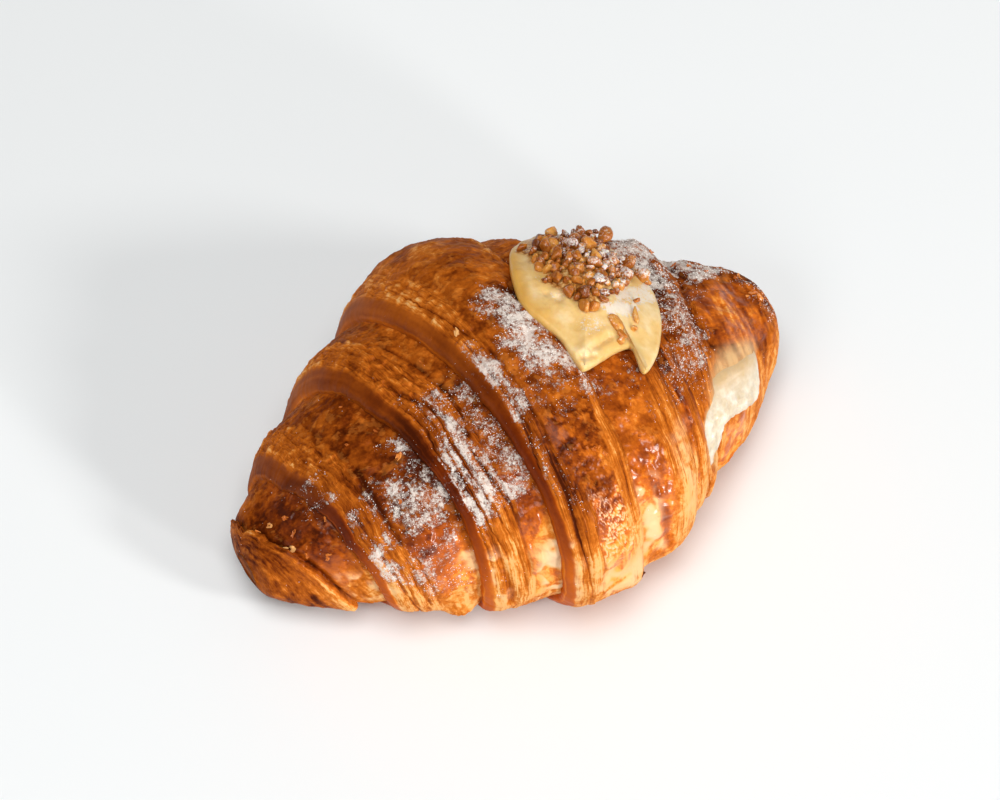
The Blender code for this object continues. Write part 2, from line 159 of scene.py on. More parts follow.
# Pale spots, partly underbaked dough and partly painted highlights: outlines in x and degrees, with how pale
# each is
PALE_AND_HIGHLIGHT_SPOTS = (
    (((-17, 76), (-11.5, 74), (-11.5, 102), (-17, 102)), 0.7),
    (((-6, 86), (9, 88), (9, 102), (-5, 100)), 0.35),
    (((9.5, 64), (15, 66), (16, 94), (9.5, 94)), 0.45),
    (((24, 56), (30, 56), (30, 84), (24, 84)), 0.16),
    (((-60, 78), (-52, 80), (-50, 102), (-58, 104)), 0.35),
    (((-33, 76), (-27, 76), (-26, 100), (-32, 100)), 0.35),
)

# Skin that is wrinkled or crackled, and crust that fades round the filling
WRINKLED_OUTLINE = ((-6, 62), (6, 65), (8, 72), (7, 86), (-5, 82))
CRACKLED_OUTLINE = ((-8, 36), (6, 34), (8, 60), (7, 68), (-7, 70))
FADE_OUTLINE = ((52, 38), (66, 37), (68, 60), (60, 80), (40, 88), (35, 80), (36, 60), (45, 50))

# Creases: a line in x and degrees, its half width and depth in millimetres, and how much shade is painted in
# it
CREASES = (
    (((-53.7, -30), (-52, -10), (-50.5, 6), (-49.7, 20)), 0.7, 0.4, 0.10),
    (((-49.7, 20), (-49.6, 35), (-48.8, 47), (-47.8, 60)), 0.7, 0.8, 0.30),
    (((-57.6, -30), (-57.3, -10), (-55.8, 6), (-53.7, 22), (-52, 31)), 0.45, 0.35, 0.15),
    (((-54.8, 40), (-53, 55), (-51, 72), (-48.5, 88)), 0.4, 0.4, 0.25),
    (((-50.5, 62), (-48.5, 78), (-46, 98)), 0.35, 0.35, 0.22),
    (((-47.5, 64), (-45.5, 80), (-43, 100)), 0.45, 0.35, 0.20),
    (((-66.5, 62), (-64.5, 72), (-62, 88), (-59, 104)), 0.7, 0.8, 0.30),
    (((-38, -30), (-36, -14), (-32.2, 2)), 0.6, 0.4, 0.15),
    (((-32.2, 2), (-28.4, 14), (-25.1, 25), (-23.3, 33)), 0.6, 0.8, 0.32),
    (((-33.2, -22), (-30.5, -10), (-27.6, 2), (-25.5, 9)), 0.45, 0.35, 0.18),
    (((-29.5, -28), (-26.2, -14), (-23, 6), (-22, 22)), 0.5, 0.5, 0.28),
    (((-30.3, 43), (-29, 59), (-27, 75), (-25.1, 90), (-24.3, 101)), 0.9, 0.9, 0.36),
    (((-28.4, 39), (-27.3, 51), (-26, 63)), 0.4, 0.45, 0.30),
    (((-24.1, 40), (-23, 55), (-21.9, 67)), 0.4, 0.45, 0.30),
    (((-21.6, 43), (-21, 59), (-20.6, 71), (-20.3, 87)), 0.3, 0.35, 0.22),
    (((-11.2, -2), (-9.5, 18), (-8.5, 39), (-9, 51), (-9, 62)), 0.4, 0.4, 0.20),
    (((-14.2, 0), (-12.6, 20), (-11.2, 40)), 0.3, 0.35, 0.22),
    (((-9, 50), (-6, 47), (-3, 46)), 0.4, 0.3, 0.25),
    (((-8, 60), (-5, 54), (-1, 53)), 0.4, 0.3, 0.20),
    (((14.5, 62), (16.5, 75), (17.5, 95)), 1.2, 0.4, 0.22),
    (((32.5, 46), (33, 62), (32.5, 80)), 0.5, 0.4, 0.18),
    (((57, -50), (56, -31), (54, -12), (51, 8), (50, 22), (50.8, 36)), 0.8, 1.0, 0.30),
)

# Humps and hollows of the outline: x, degrees, reach in each, height in millimetres
HUMPS = (
    (62, 72, 11, 26, -1.9), (56, -31, 2.2, 12, -1.6), (50, -44, 3.0, 10, 1.2), (64, -42, 5.0, 16, 0.9),
    (77.5, 45, 3.5, 40, -1.0), (7.0, 101, 5.5, 8, 2.0), (-59.0, 111, 3.0, 8, 0.9),
    (-35.0, 113, 3.0, 8, 0.8), (78.0, 55, 3.0, 20, -0.8), (75.0, -8.0, 2.6, 5, 0.9),
    (75.6, 7.0, 2.4, 5, 1.0), (75.0, 22.0, 2.4, 5, 0.9), (75.6, 37.0, 2.4, 5, 0.9),
    (76.2, 56.0, 2.6, 8, 1.3),
)

# Darker and paler spots: x, degrees, reach in each, and how much darker. Some are the crust's own tone, some
# are painted shade beside risers and in creases, and those at x 73.5 to 77 are painted highlights on the
# ledges of the far end
TONE_SHADE_AND_HIGHLIGHT_SPOTS = (
    (-66, 12, 7, 34, 0.16), (-4, 50, 6, 9, 0.16), (-2, 64, 7, 8, 0.12), (15, 62, 3.5, 7, 0.16),
    (17, 82, 2.0, 12, 0.16), (12, 74, 3.5, 14, -0.20), (26, 72, 5, 22, -0.12), (21, 60, 3, 12, 0.10),
    (18, 56, 3, 5, -0.16), (-1, 84, 8, 12, -0.14), (-7, 58, 3, 8, 0.08), (-30, 84, 5, 16, -0.10),
    (-18, -50, 12, 20, -0.07), (12, -58, 12, 10, -0.14), (8, 42, 3, 6, -0.20), (-34, 32, 5, 26, 0.20),
    (-44, 18, 4, 12, 0.22), (-19, 46, 5, 12, 0.12), (-9, 30, 3, 10, 0.14), (-44, 58, 5, 10, 0.08),
    (-66, 45, 7, 30, 0.15), (-5, -45, 14, 16, -0.10), (-36, 28, 6, 18, 0.12), (-50, 32, 4, 20, 0.16),
    (-37, -7, 3, 8, 0.12), (-43, 52, 5, 12, 0.12), (-41, 76, 5, 16, 0.34), (-31, 78, 2.5, 12, 0.10),
    (-8, 32, 3, 7, 0.10), (-7.5, 65, 2.5, 14, 0.28), (-11.5, 76, 2, 8, 0.10), (-30, 61, 3, 10, 0.10),
    (-33, 41, 1.5, 5, -0.20), (-19, 4, 4, 6, -0.14), (6, 44, 3, 7, -0.20), (17, 38, 4, 8, -0.18),
    (18, 55, 3, 9, -0.10), (26, 44, 4, 10, -0.08), (20, 44, 9, 16, -0.08), (12, -48, 7, 9, -0.12),
    (-30, -78, 8, 14, -0.14), (-49, -62, 6, 10, -0.12), (-59, 74, 3, 16, 0.10), (1, 76, 6, 10, 0.08),
    (-61, 50, 5, 14, 0.14), (59, 42, 5, 6, -0.12), (-20, -20, 5, 14, -0.08), (77, 8, 1.5, 5, -0.20),
    (77, 54, 2, 10, -0.22), (73.5, 34, 1.5, 3, -0.25), (-45, 5, 7, 30, 0.05), (-6, -30, 9, 20, -0.10),
    (-8, 42, 2, 20, -0.06), (-20, 68, 3, 10, 0.10), (-14, 84, 4, 10, -0.10), (-18, 22, 5, 20, 0.10),
    (47, 6, 5, 34, 0.13), (16, 36, 8, 12, 0.14), (28, 34, 10, 8, 0.16), (34, 48, 4, 20, 0.10),
    (64, 18, 9, 26, -0.20), (-46, -24, 5, 18, 0.06),
)

# Sugar dust: outlines in x and degrees, with how dense each is
SUGAR = (
    (((-3, -13), (2, -12), (5, -6), (6, 0), (8, 10), (8.5, 18),
      (10, 25), (4, 27), (-3, 26), (-7, 20), (-8, 8)), 0.88),
    (((-8, 22), (10, 20), (12, 36), (-1, 36), (-7, 32)), 0.42),
    (((-16.5, 3), (-13.5, 3), (-11.5, 20), (-11, 42), (-13, 44), (-14.5, 25)), 0.5),
    (((-13, 10), (-9, 10), (-9, 34), (-12, 36)), 0.45),
    (((-15, 40), (-11, 40), (-8, 62), (-13, 62)), 0.3),
    (((-47, 31), (-41, 29), (-36, 32), (-34, 40), (-32.5, 50), (-32, 58),
      (-36, 62), (-44, 60), (-47.5, 50), (-47.5, 40)), 0.72),
    (((-46, 34), (-41, 33), (-41, 46), (-46, 44)), 0.9),
    (((-38, 38), (-34, 38), (-32.5, 55), (-38, 58)), 0.9),
    (((-47, 58), (-32, 58), (-31, 92), (-42, 92), (-48, 74)), 0.42),
    (((-38, 17), (-35.5, 17), (-33.2, 42), (-37, 36)), 0.95),
    (((-31, 8), (-24, 8), (-21, 28), (-20.5, 52), (-24, 62), (-29, 58), (-31, 40)), 0.5),
    (((-27, 10), (-23.5, 10), (-22.8, 20), (-26, 22)), 0.75),
    (((-30, 34), (-28.6, 34), (-27.4, 60), (-29, 60)), 0.65),
    (((-26.4, 30), (-24.6, 30), (-23.2, 56), (-25, 58)), 0.6),
    (((-22, 12), (-16, 12), (-14.5, 50), (-19, 56), (-22.6, 36)), 0.58),
    (((-56.5, 38), (-53.5, 38), (-51.4, 55), (-50.6, 74), (-53.4, 74), (-55.2, 52)), 0.92),
    (((-52, 34), (-49.6, 35), (-48.6, 62), (-50.6, 64)), 0.85),
    (((-54, 62), (-50, 62), (-48, 80), (-52, 82)), 0.18),
    (((40, -60), (53, -60), (53, -20), (51, -6), (44, 2), (41, -10)), 0.9),
    (((54, -62), (66, -60), (70, -30), (62, -18), (55, -16)), 0.95),
    (((64, -60), (80, -55), (80, -26), (72, -24), (66, -30)), 0.55),
    (((41, -10), (52, -8), (52, 20), (47, 46), (38, 45), (39, 24)), 0.64),
    (((52, -16), (60, -16), (57, 2), (52, 10)), 0.36),
    (((28, 30), (38, 28), (38, 48), (30, 46)), 0.38),
    (((73, -20), (80, -20), (80, 20), (77, 45), (75, 20)), 0.4),
    (((10, 28), (22, 24), (29, 35), (25, 45), (12, 40)), 0.25),
    (((-62.5, 4), (-59, 4), (-57.6, 28), (-60, 30)), 0.42),
)
# The same on the custard
PETAL_SUGAR = (
    (((11.5, -6), (14.0, -5), (13.2, 0), (11.0, 1), (10.0, -2)), 0.45),
    (((13.8, 7), (20.0, 8), (20.2, 14), (16.5, 16), (12.2, 14)), 0.45),
    (((22.2, 5), (32.2, 8), (32.0, 12), (26.5, 12), (21.2, 9)), 0.95),
    (((29.2, -1), (40.5, 2), (41.2, 9), (33.5, 10), (26.2, 6)), 0.75),
    (((32.2, -23), (41.5, -29), (39.0, -17), (30.0, -15)), 0.7),
    (((42.8, -18), (42.8, -6), (42.5, 5), (37.0, 2)), 0.85),
    (((10.0, -16), (13.5, -12), (12.8, -10), (9.2, -10)), 0.35),
)
# Nuts that are seen one by one: x, degrees, size in millimetres and how dark
NUTS = (
    (13.5, -30, 2.4, 0.6), (15.0, -26, 2.2, 0.7), (20.8, -36, 2.3, 0.8), (18.8, -26, 3.2, 0.6),
    (25.2, -39, 3.0, 0.2), (23.0, -31, 1.9, 0.5), (27.8, -35, 2.7, 0.8), (25.8, -24, 3.2, 0.75),
    (16.2, -20, 2.2, 0.6), (19.0, -19, 3.2, 0.6), (21.0, -19, 1.6, 0.8), (24.2, -17, 2.4, 0.6),
    (33.5, -39, 3.0, 0.65), (36.5, -40, 2.2, 0.7), (39.5, -43, 1.6, 0.85), (39.5, -35, 4.1, 0.55),
    (36.2, -30, 1.6, 0.7), (30.2, -23, 3.5, 0.45), (26.5, -19, 1.9, 0.8), (21.0, -15, 2.2, 0.6),
    (16.2, -14, 2.7, 0.65), (15.0, -9, 3.5, 0.6), (13.2, -10, 1.6, 0.6), (11.8, -10, 1.4, 0.7),
    (19.8, -8, 2.2, 0.6), (20.0, -11, 1.9, 0.6), (22.0, -10, 2.4, 0.4), (27.2, -11, 3.8, 0.55),
    (31.5, -13, 1.6, 0.7), (33.5, -12, 2.7, 0.6), (35.8, -18, 1.9, 0.6), (38.8, -13, 3.5, 0.6),
    (37.5, -16, 1.9, 0.7), (27.2, -6, 2.2, 0.6), (30.5, -7, 2.2, 0.5), (24.8, -3, 3.0, 0.7),
    (22.2, -3, 2.2, 0.6), (26.8, -2, 2.2, 0.35), (19.0, -5, 2.4, 0.5), (15.5, -2, 3.0, 0.6),
    (18.8, 0, 3.2, 0.75), (16.5, 1, 1.9, 0.7), (21.8, 1, 2.4, 0.7), (23.2, 4, 1.9, 0.6),
    (17.0, 5, 3.2, 0.4), (19.2, 6, 3.0, 0.5), (40.0, -5, 3.2, 0.5), (40.5, -2, 1.9, 0.5),
    (39.0, -7, 1.6, 0.6), (23.2, 13.5, 3.2, 0.34), (22.8, 18, 2.4, 0.45), (21.5, 20, 1.6, 0.35),
    (29.3, 14, 2.2, 0.22), (32.7, 8, 1.5, 0.5), (27.0, 18, 1.6, 0.3), (25.2, -30, 1.6, 0.6),
    (31.8, -30, 1.9, 0.7), (33.0, -42, 1.6, 0.7), (29.5, -41, 1.6, 0.7), (32.5, -42, 1.6, 0.75),
    (36.8, -41, 1.6, 0.7), (36.2, -36, 1.6, 0.6),
)
# More nuts, scattered over the heap: its middle and its reach in x and degrees
EXTRA_NUTS = 110
HEAP_CENTRE, HEAP_REACH = (25.5, -17.0), (12.5, 21.0)
NUT_SCALE, NUT_SPACING, NUT_OUT = 1.22, 0.36, 0.22
NUT_FACETS, FACET_SHARPNESS, LONGEST_CORNER = 11, 11, 1.25
# Nuts that are long slivers, by x and degrees: length, width, turn, and how far they lie off the custard
SLIVERS = {(23.2, 13.5): (6.0, 3.3, 86), (29.3, 14): (5.2, 1.7, 116), (22.8, 18): (3.0, 1.6, 70)}
SLIVER_LIFT = 0.35
# Torn flakes: middle in x and degrees, spread in each, how many, half length and tone
FLAKES = (
    (-70.0, 46.0, 0.3, 1.0, 1, 2.0, 0.02), (-73.5, 8.0, 0.8, 6.0, 2, 1.4, 0.15),
    (-68.0, 24.0, 2.0, 8.0, 4, 1.3, 0.35), (-62.0, 50.0, 2.0, 8.0, 4, 1.3, 0.3),
    (-45.0, 10.0, 4.0, 18.0, 5, 1.2, 0.42), (-22.0, 6.0, 2.0, 14.0, 4, 1.2, 0.38),
    (-14.2, -5.5, 0.1, 0.3, 1, 1.5, 0.0), (-39.5, 26.5, 0.1, 0.3, 1, 1.7, 0.26),
    (0.0, 50.0, 3.0, 8.0, 5, 1.2, 0.35), (16.0, 44.0, 4.0, 6.0, 3, 1.1, 0.4),
    (52.0, -37.0, 0.4, 1.5, 1, 2.4, 0.3), (75.0, 10.0, 1.5, 20.0, 7, 1.6, 0.22),
    (66.0, -20.0, 5.0, 12.0, 5, 1.4, 0.35), (8.6, 99.0, 0.1, 0.3, 1, 1.8, 0.8),
)
FLAKE_SIDES, FLAKE_THICKNESS = 11, 0.2
GRAIN_COUNT = 7000
# Where the custard is covered with crumbs of nut
NUT_HEAP = (
    (12, -30), (16, -38), (24, -45), (34, -43), (40, -33), (42, -16), (41, -4), (36, -8), (30, -6),
    (24, 5), (17, 6), (13, -6), (14, -18),
)

# Light and camera, in metres and radians, with the focal length in millimetres
LIT_POINT = (0.0, 0.0, 0.03)
WARM_WHITE, SOFT_WHITE = (1.0, 0.98, 0.95), (1.0, 0.99, 0.98)
SEEN_POINT = (-0.0013, 0.00254, 0.034)
VIEW_SIDE, VIEW_HEIGHT, VIEW_DISTANCE = math.radians(-28.0), math.radians(52.0), 0.9
FOCAL_LENGTH, LENS_SHIFT = 125.36, (-0.0112, -0.0013)


def between(xs, ys, x):
    """Monotone cubic through the given values."""
    xs = np.asarray(xs, float)
    ys = np.asarray(ys, float)
    h = np.diff(xs)
    d = np.diff(ys) / h
    m = np.zeros(len(xs))
    for i in range(1, len(xs) - 1):
        if d[i - 1] * d[i] > 0:
            a = 2 * h[i] + h[i - 1]
            b = h[i] + 2 * h[i - 1]
            m[i] = (a + b) / (a / d[i - 1] + b / d[i])
    m[0] = d[0]
    m[-1] = d[-1]
    x = np.clip(x, xs[0], xs[-1])
    i = np.clip(np.searchsorted(xs, x) - 1, 0, len(xs) - 2)
    t = (x - xs[i]) / h[i]
    rise = (3 * t**2 - 2 * t**3) * (ys[i + 1] - ys[i])
    return ys[i] + rise + h[i] * ((t**3 - 2 * t**2 + t) * m[i] + (t**3 - t**2) * m[i + 1])


def smooth(t, low=0.0, high=1.0):
    """0 up to low, 1 from high on, with a soft rise between them."""
    t = np.clip((t - low) / (high - low), 0.0, 1.0)
    return t * t * (3 - 2 * t)


def bell(distance, reach):
    """1 at no distance, and close to 0 at twice the reach."""
    return np.exp(-((distance / reach) ** 2))


def place(x, angle, lift):
    """The point, in metres, at x and angle, lifted off the smooth form by lift."""
    left = np.clip((x - TIP_X) / TIP_ROUNDING, 0.0, 1.0)
    right = np.clip((END_X - x) / END_ROUNDING, 0.0, 1.0)
    closing = np.sqrt(1 - (1 - left) ** 2) * np.sqrt(1 - (1 - right) ** 2)
    width = between(SECTION_X, HALF_WIDTH, x)
    top = between(SECTION_X, TOP_HEIGHT, x)
    base = between(SECTION_X, BASE_HEIGHT, x)
    centre = base + CENTRE_SHARE * (top - base)
    tall = np.where(np.cos(angle) > 0, top - centre, centre - base)
    form = np.abs(np.sin(angle) / width) ** ROUNDNESS + np.abs(np.cos(angle) / tall) ** ROUNDNESS
    reach = (form ** (-1 / ROUNDNESS) + lift) * closing
    y = between(SECTION_X, SIDE_SHIFT, x) - reach * np.sin(angle)
    z = centre + reach * np.cos(angle)
    return (np.stack([x + 0 * angle, y, z], -1) + SHIFT) * MM


def edge_feet(angle):
    """x of every band edge, left to right."""
    away = (np.abs(angle) - FOLD_START) / (math.pi - FOLD_START)
    s = angle * (1 - smooth(away))
    feet = []
    last = np.full_like(s, TIP_X)
    for _, start, lean, bow, _ in EDGES:
        last = np.maximum(start + lean * s + bow * s * s, last + LEAST_BAND)
        feet.append(last)
    return feet


def lumps(x, angle):
    """Long waves of the form and its two swellings, in millimetres."""
    total = 0.0
    for per_mm, turns, phase, height in LUMPS:
        total = total + height * np.sin(per_mm * x + turns * angle + phase)
    for middle, degrees, height, reach in SWELLINGS:
        arc = (angle - math.radians(degrees)) * RADIUS
        total = total + height * np.exp(-((x - middle) ** 2 + arc**2) / reach**2)
    return total


def scramble(i, j, k, seed):
    """A well mixed 32-bit number for each whole-number point."""
    h = i.astype(np.uint32) * np.uint32(374761393) + j.astype(np.uint32) * np.uint32(668265263)
    h += k.astype(np.uint32) * np.uint32(2246822519) + np.uint32((seed * 3266489917) & 0xFFFFFFFF)
    h ^= h >> np.uint32(15)
    h *= np.uint32(2246822519)
    h ^= h >> np.uint32(13)
    h *= np.uint32(3266489917)
    return h ^ (h >> np.uint32(16))


CORNERS = np.array(
    [(1, 1, 0), (-1, 1, 0), (1, -1, 0), (-1, -1, 0), (1, 0, 1), (-1, 0, 1),
     (1, 0, -1), (-1, 0, -1), (0, 1, 1), (0, -1, 1), (0, 1, -1), (0, -1, -1)], float)


def noise(x, y, z, seed=0):
    """Gradient noise, mostly between -0.7 and 0.7."""
    x, y, z = np.broadcast_arrays(np.asarray(x, float), np.asarray(y, float), np.asarray(z, float))
    low = [np.floor(v).astype(np.int64) for v in (x, y, z)]
    f = [v - i for v, i in zip((x, y, z), low)]
    w = [t * t * t * (t * (6 * t - 15) + 10) for t in f]
    total = np.zeros(x.shape)
    for a in (0, 1):
        for b in (0, 1):
            for c in (0, 1):
                g = CORNERS[scramble(low[0] + a, low[1] + b, low[2] + c, seed) % np.uint32(12)]
                dot = g[..., 0] * (f[0] - a) + g[..., 1] * (f[1] - b) + g[..., 2] * (f[2] - c)
                share = (w[0] if a else 1 - w[0]) * (w[1] if b else 1 - w[1]) * (w[2] if c else 1 - w[2])
                total += share * dot
    return total


def rough(p, size, seed, octaves=3, gain=0.5):
    """Layered noise at points p, in millimetres, whose largest features are about size."""
    total = 0.0
    height = 1.0
    for n in range(octaves):
        q = p / size
        total = total + height * noise(q[..., 0], q[..., 1], q[..., 2], seed + n)
        size *= 0.5
        height *= gain
    return total


def cells(q, seed):
    """Distance to the nearest and second nearest of scattered points, one to a unit cube."""
    low = np.floor(q).astype(np.int64)
    f = q - low
    near = np.full(q.shape[:-1], 9.0)
    second = near.copy()
    for a in (-1, 0, 1):
        for b in (-1, 0, 1):
            for c in (-1, 0, 1):
                h = scramble(low[..., 0] + a, low[..., 1] + b, low[..., 2] + c, seed)
                dx = a + (h & np.uint32(1023)) / 1024 - f[..., 0]
                dy = b + ((h >> np.uint32(10)) & np.uint32(1023)) / 1024 - f[..., 1]
                dz = c + ((h >> np.uint32(20)) & np.uint32(1023)) / 1024 - f[..., 2]
                d = dx * dx + dy * dy + dz * dz
                second = np.minimum(second, np.maximum(near, d))
                near = np.minimum(near, d)
    return np.sqrt(near), np.sqrt(second)


def closed_spline(points, count):
    """count points on a smooth closed curve through the given ones."""
    points = np.asarray(points, float)
    n = len(points)
    t = np.arange(count) * n / count
    i = t.astype(int)
    f = (t - i)[:, None]
    p0, p1, p2, p3 = (points[(i + k) % n] for k in (-1, 0, 1, 2))
    bend = (2 * p0 - 5 * p1 + 4 * p2 - p3) * f**2 + (3 * p1 - p0 - 3 * p2 + p3) * f**3
    return 0.5 * (2 * p1 + (p2 - p0) * f + bend)


def depth_inside(outline, x, degrees):
    """Distance in millimetres inside an outline of x and degrees, below 0 outside it."""
    ring = np.asarray(outline, float) * (1.0, ARC)
    px, py = x, degrees * ARC
    nearest = np.full(px.shape, 1e9)
    inside = np.zeros(px.shape, bool)
    for (ax, ay), (bx, by) in zip(ring, np.roll(ring, -1, axis=0)):
        dx, dy = bx - ax, by - ay
        t = np.clip(((px - ax) * dx + (py - ay) * dy) / (dx * dx + dy * dy), 0, 1)
        nearest = np.minimum(nearest, (px - ax - t * dx) ** 2 + (py - ay - t * dy) ** 2)
        if ay != by:
            crosses = ((ay > py) != (by > py)) & (px < dx * (py - ay) / dy + ax)
            inside ^= crosses
    return np.where(inside, 1.0, -1.0) * np.sqrt(nearest)


def near_line(line, x, degrees):
    """Distance in millimetres to an open line of x and degrees."""
    ring = np.asarray(line, float) * (1.0, ARC)
    py = degrees * ARC
    nearest = np.full(x.shape, 1e9)
    for (ax, ay), (bx, by) in zip(ring[:-1], ring[1:]):
        dx, dy = bx - ax, by - ay
        t = np.clip(((x - ax) * dx + (py - ay) * dy) / (dx * dx + dy * dy), 0, 1)
        nearest = np.minimum(nearest, (x - ax - t * dx) ** 2 + (py - ay - t * dy) ** 2)
    return np.sqrt(nearest)


def covered(outlines, x, degrees, ragged, soft):
    """The highest amount of the outlines that hold each point, with ragged and soft edges."""
    most = np.zeros_like(x)
    for outline, amount in outlines:
        inside = depth_inside(outline, x, degrees) + ragged
        most = np.maximum(most, amount * smooth(inside, -soft, soft))
    return most


def with_spots(total, spots, x, degrees):
    """total plus soft round spots: x, degrees, reach in each, and amount."""
    for at_x, at_deg, wide, tall, amount in spots:
        total = total + amount * np.exp(-(((x - at_x) / wide) ** 2) - (((degrees - at_deg) / tall) ** 2))
    return total


def make_mesh(name, points, quads, triangles, values=None, vectors=None):
    """A smooth mesh object, with named values and vectors at its points."""
    quads = np.asarray(quads, np.int32).reshape(-1, 4)
    triangles = np.asarray(triangles, np.int32).reshape(-1, 3)
    mesh = bpy.data.meshes.new(name)
    mesh.vertices.add(len(points))
    mesh.vertices.foreach_set("co", np.asarray(points, np.float32).ravel())
    corners = np.concatenate([quads.ravel(), triangles.ravel()])
    mesh.loops.add(len(corners))
    mesh.loops.foreach_set("vertex_index", corners)
    starts = np.concatenate([np.arange(len(quads)) * 4, len(quads) * 4 + np.arange(len(triangles)) * 3])
    mesh.polygons.add(len(starts))
    mesh.polygons.foreach_set("loop_start", starts.astype(np.int32))
    mesh.polygons.foreach_set("use_smooth", np.ones(len(starts), bool))
    mesh.update(calc_edges=True)
    named = [(key, "FLOAT", "value", value) for key, value in (values or {}).items()]
    named += [(key, "FLOAT_VECTOR", "vector", value) for key, value in (vectors or {}).items()]
    for key, kind, field, value in named:
        data = mesh.attributes.new(key, kind, "POINT").data
        data.foreach_set(field, np.asarray(value, np.float32).ravel())
    made = bpy.data.objects.new(name, mesh)
    bpy.context.scene.collection.objects.link(made)
    return made


def wobble(angle, edge):
    """Small waves along a band edge, in millimetres, none near the seam of the base."""
    along = angle * RADIUS
    waves = 1.0 * noise(along / 16, edge * 3.7, 0.5, 81) + 0.35 * noise(along / 4.5, edge * 5.1, 0.5, 82)
    return smooth(3.0 - np.abs(angle), 0.0, 0.4) * (waves + 0.2 * noise(along / 1.5, edge * 5.1, 0.5, 83))


def body_grid(angle):
    """Every column's x, lift, band, place on a riser and distances from its band's two edges."""
    feet = [foot + wobble(angle, n) for n, foot in enumerate(edge_feet(angle))]
    feet = [np.full_like(angle, TIP_X)] + feet + [np.full_like(angle, END_X)]
    xs, lifts, bands, risers, nears, fars = [], [], [], [], [], []

    def column(x, lift, band, riser, near, far):
        xs.append(x + 0 * angle)
        lifts.append(lift + 0 * angle)
        bands.append(np.full(len(angle), band))
        risers.append(np.full(len(angle), float(riser)))
        nears.append(near + 0 * angle)
        fars.append(far + 0 * angle)

    for n in range(len(feet) - 1):
        first, last = feet[n], feet[n + 1]
        width = last - first
        begin, finish = -HALVES[n], -HALVES[n + 1]
        if KINDS[n] == "rise":
            run = np.minimum(RISER_RUN * (1 - 0.5 * smooth(angle, 0.25, 0.9)), NARROW * width)
            for k in range(RISER_COLUMNS):
                turn = k / RISER_COLUMNS * math.pi / 2
                up = math.sin(turn)
                tuck = UNDERCUT * math.sin(math.pi * up)
                x = first + run * (1 - math.cos(turn)) - tuck
                column(x, HALVES[n] * (2 * up - 1), n, 0.05 + up * 0.9, x - first - run, last - x)
            first = first + run
            begin = HALVES[n]
        drop = np.minimum(DROP_RUN, NARROW * width)
        if KINDS[n + 1] == "fall":
            last = last - drop
            finish = HALVES[n + 1]
        span = last - first
        count = BAND_COLUMNS[n]
        even = np.arange(1 if n == 0 else 0, count) / count
        if KINDS[n] == "rise":
            fine = np.minimum(FINE_REACH, 0.5 * width) / span
            shares = []
            for e in even:
                beyond = fine + (1 - fine) * (e - FINE_SHARE) / (1 - FINE_SHARE)
                shares.append(np.where(e < FINE_SHARE, fine * e / FINE_SHARE, beyond))
        elif KINDS[n + 1] == "end":
            shares = [1 - (1 - e) ** 1.35 for e in even]
        else:
            shares = even
        for share in shares:
            lift = begin + (finish - begin) * smooth(share) + 4 * CROWN * width * share * (1 - share)
            column(first + span * share, lift, n, 0, span * share, span * (1 - share))
        if KINDS[n + 1] == "fall":
            for k in range(DROP_COLUMNS):
                turn = k / DROP_COLUMNS * math.pi / 2
                over = drop * math.sin(turn)
                column(last + over, finish * (2 * math.cos(turn) - 1), n, -turn, span, -over)
    return [np.stack(v, 1) for v in (xs, lifts, bands, risers, nears, fars)]


# Grid of the crust: rows round it and columns along it
fine_rows = np.radians(np.arange(FIRST_ROW, LAST_FINE_ROW, FINE_STEP))
coarse_rows = np.radians(np.arange(LAST_FINE_ROW, FIRST_ROW + 360, COARSE_STEP))
row_angles = np.concatenate([fine_rows, coarse_rows])
row_angles = np.where(row_angles > math.pi, row_angles - 2 * math.pi, row_angles)
x, lift, band, riser, near, far = body_grid(row_angles)
angles = row_angles[:, None] + 0 * x
degrees = np.degrees(angles)
lift = lift + lumps(x, angles)
form = place(x, angles, lift) / MM
along = angles * FLOW_RADIUS
leaf = band == 0
leaf_rise = smooth(x, -78.3, -76.5)
right_end = smooth(x, 50, 56)

# Layers: ridges that follow the band edges, with broken grooves between them
near_zone = np.zeros_like(x)
far_zone = np.zeros_like(x)
for n in range(len(BAND_COLUMNS)):
    mine = band == n
    near_zone[mine] = np.interp(degrees[mine], LAYER_ANGLES, NEAR_LAYERS[n])
    far_zone[mine] = np.interp(degrees[mine], LAYER_ANGLES, FAR_LAYERS[n])
on_riser = (riser > 0) * (1 - smooth(riser, 0.90, 0.96))
ragged = 2.4 * noise(x / 3.5, along / 12, band, 3) + 1.4 * noise(x / 1.4, along / 5, band, 4)
near_in = smooth(near_zone + ragged - near, 0, 1.6) * (1 - on_riser) * (near_zone > 0.5)
far_in = smooth(far_zone + ragged - far, 0, 1.6) * (far > -0.2) * (far_zone > 0.5)
flow = np.where(far_in > near_in, -far, near)
flow = np.where(leaf, 15.0 * near / np.maximum(near + far, 0.1), flow)
layered = np.where(leaf, 0.8 * leaf_rise, np.maximum(near_in, far_in))
lower = smooth(degrees, -5, 45)
pitch = np.where(leaf, 1.8, 2.6 + 0.5 * smooth(degrees, 35, 75) * (band < 5))
wander = 0.9 * noise(along / 34, flow / 9, band, 11) + 0.16 * noise(along / 12, flow / 5, band, 12)
phase = flow / pitch + wander
groove_at = np.floor(phase + 0.5)
step = phase - groove_at
from_groove = np.abs(step) * pitch
cut = np.clip(0.55 + 1.5 * noise(along / 30, groove_at * 7.3, band, 13), 0.0, 1.1) * (0.65 + 0.35 * lower)
cut = cut * np.where((band >= 5) | (far_in > near_in), 0.35, 1.0)
cut = np.where(leaf, 0.45, cut)
groove = cut * bell(from_groove, 0.17)
valley = cut * bell(from_groove, 0.55)
streak = noise(flow / 0.7 + wander, along / 26, band, 15)
streak = streak + 0.7 * noise(flow / 0.35 + wander, along / 16, band, 16)
split = noise((flow + 0.5 * noise(along / 14, flow / 3, band, 14)) / 1.7, along / 24, band, 20)
split = bell(split, 0.05) * smooth(noise(along / 12, flow / 3, band, 10), -0.1, 0.3)
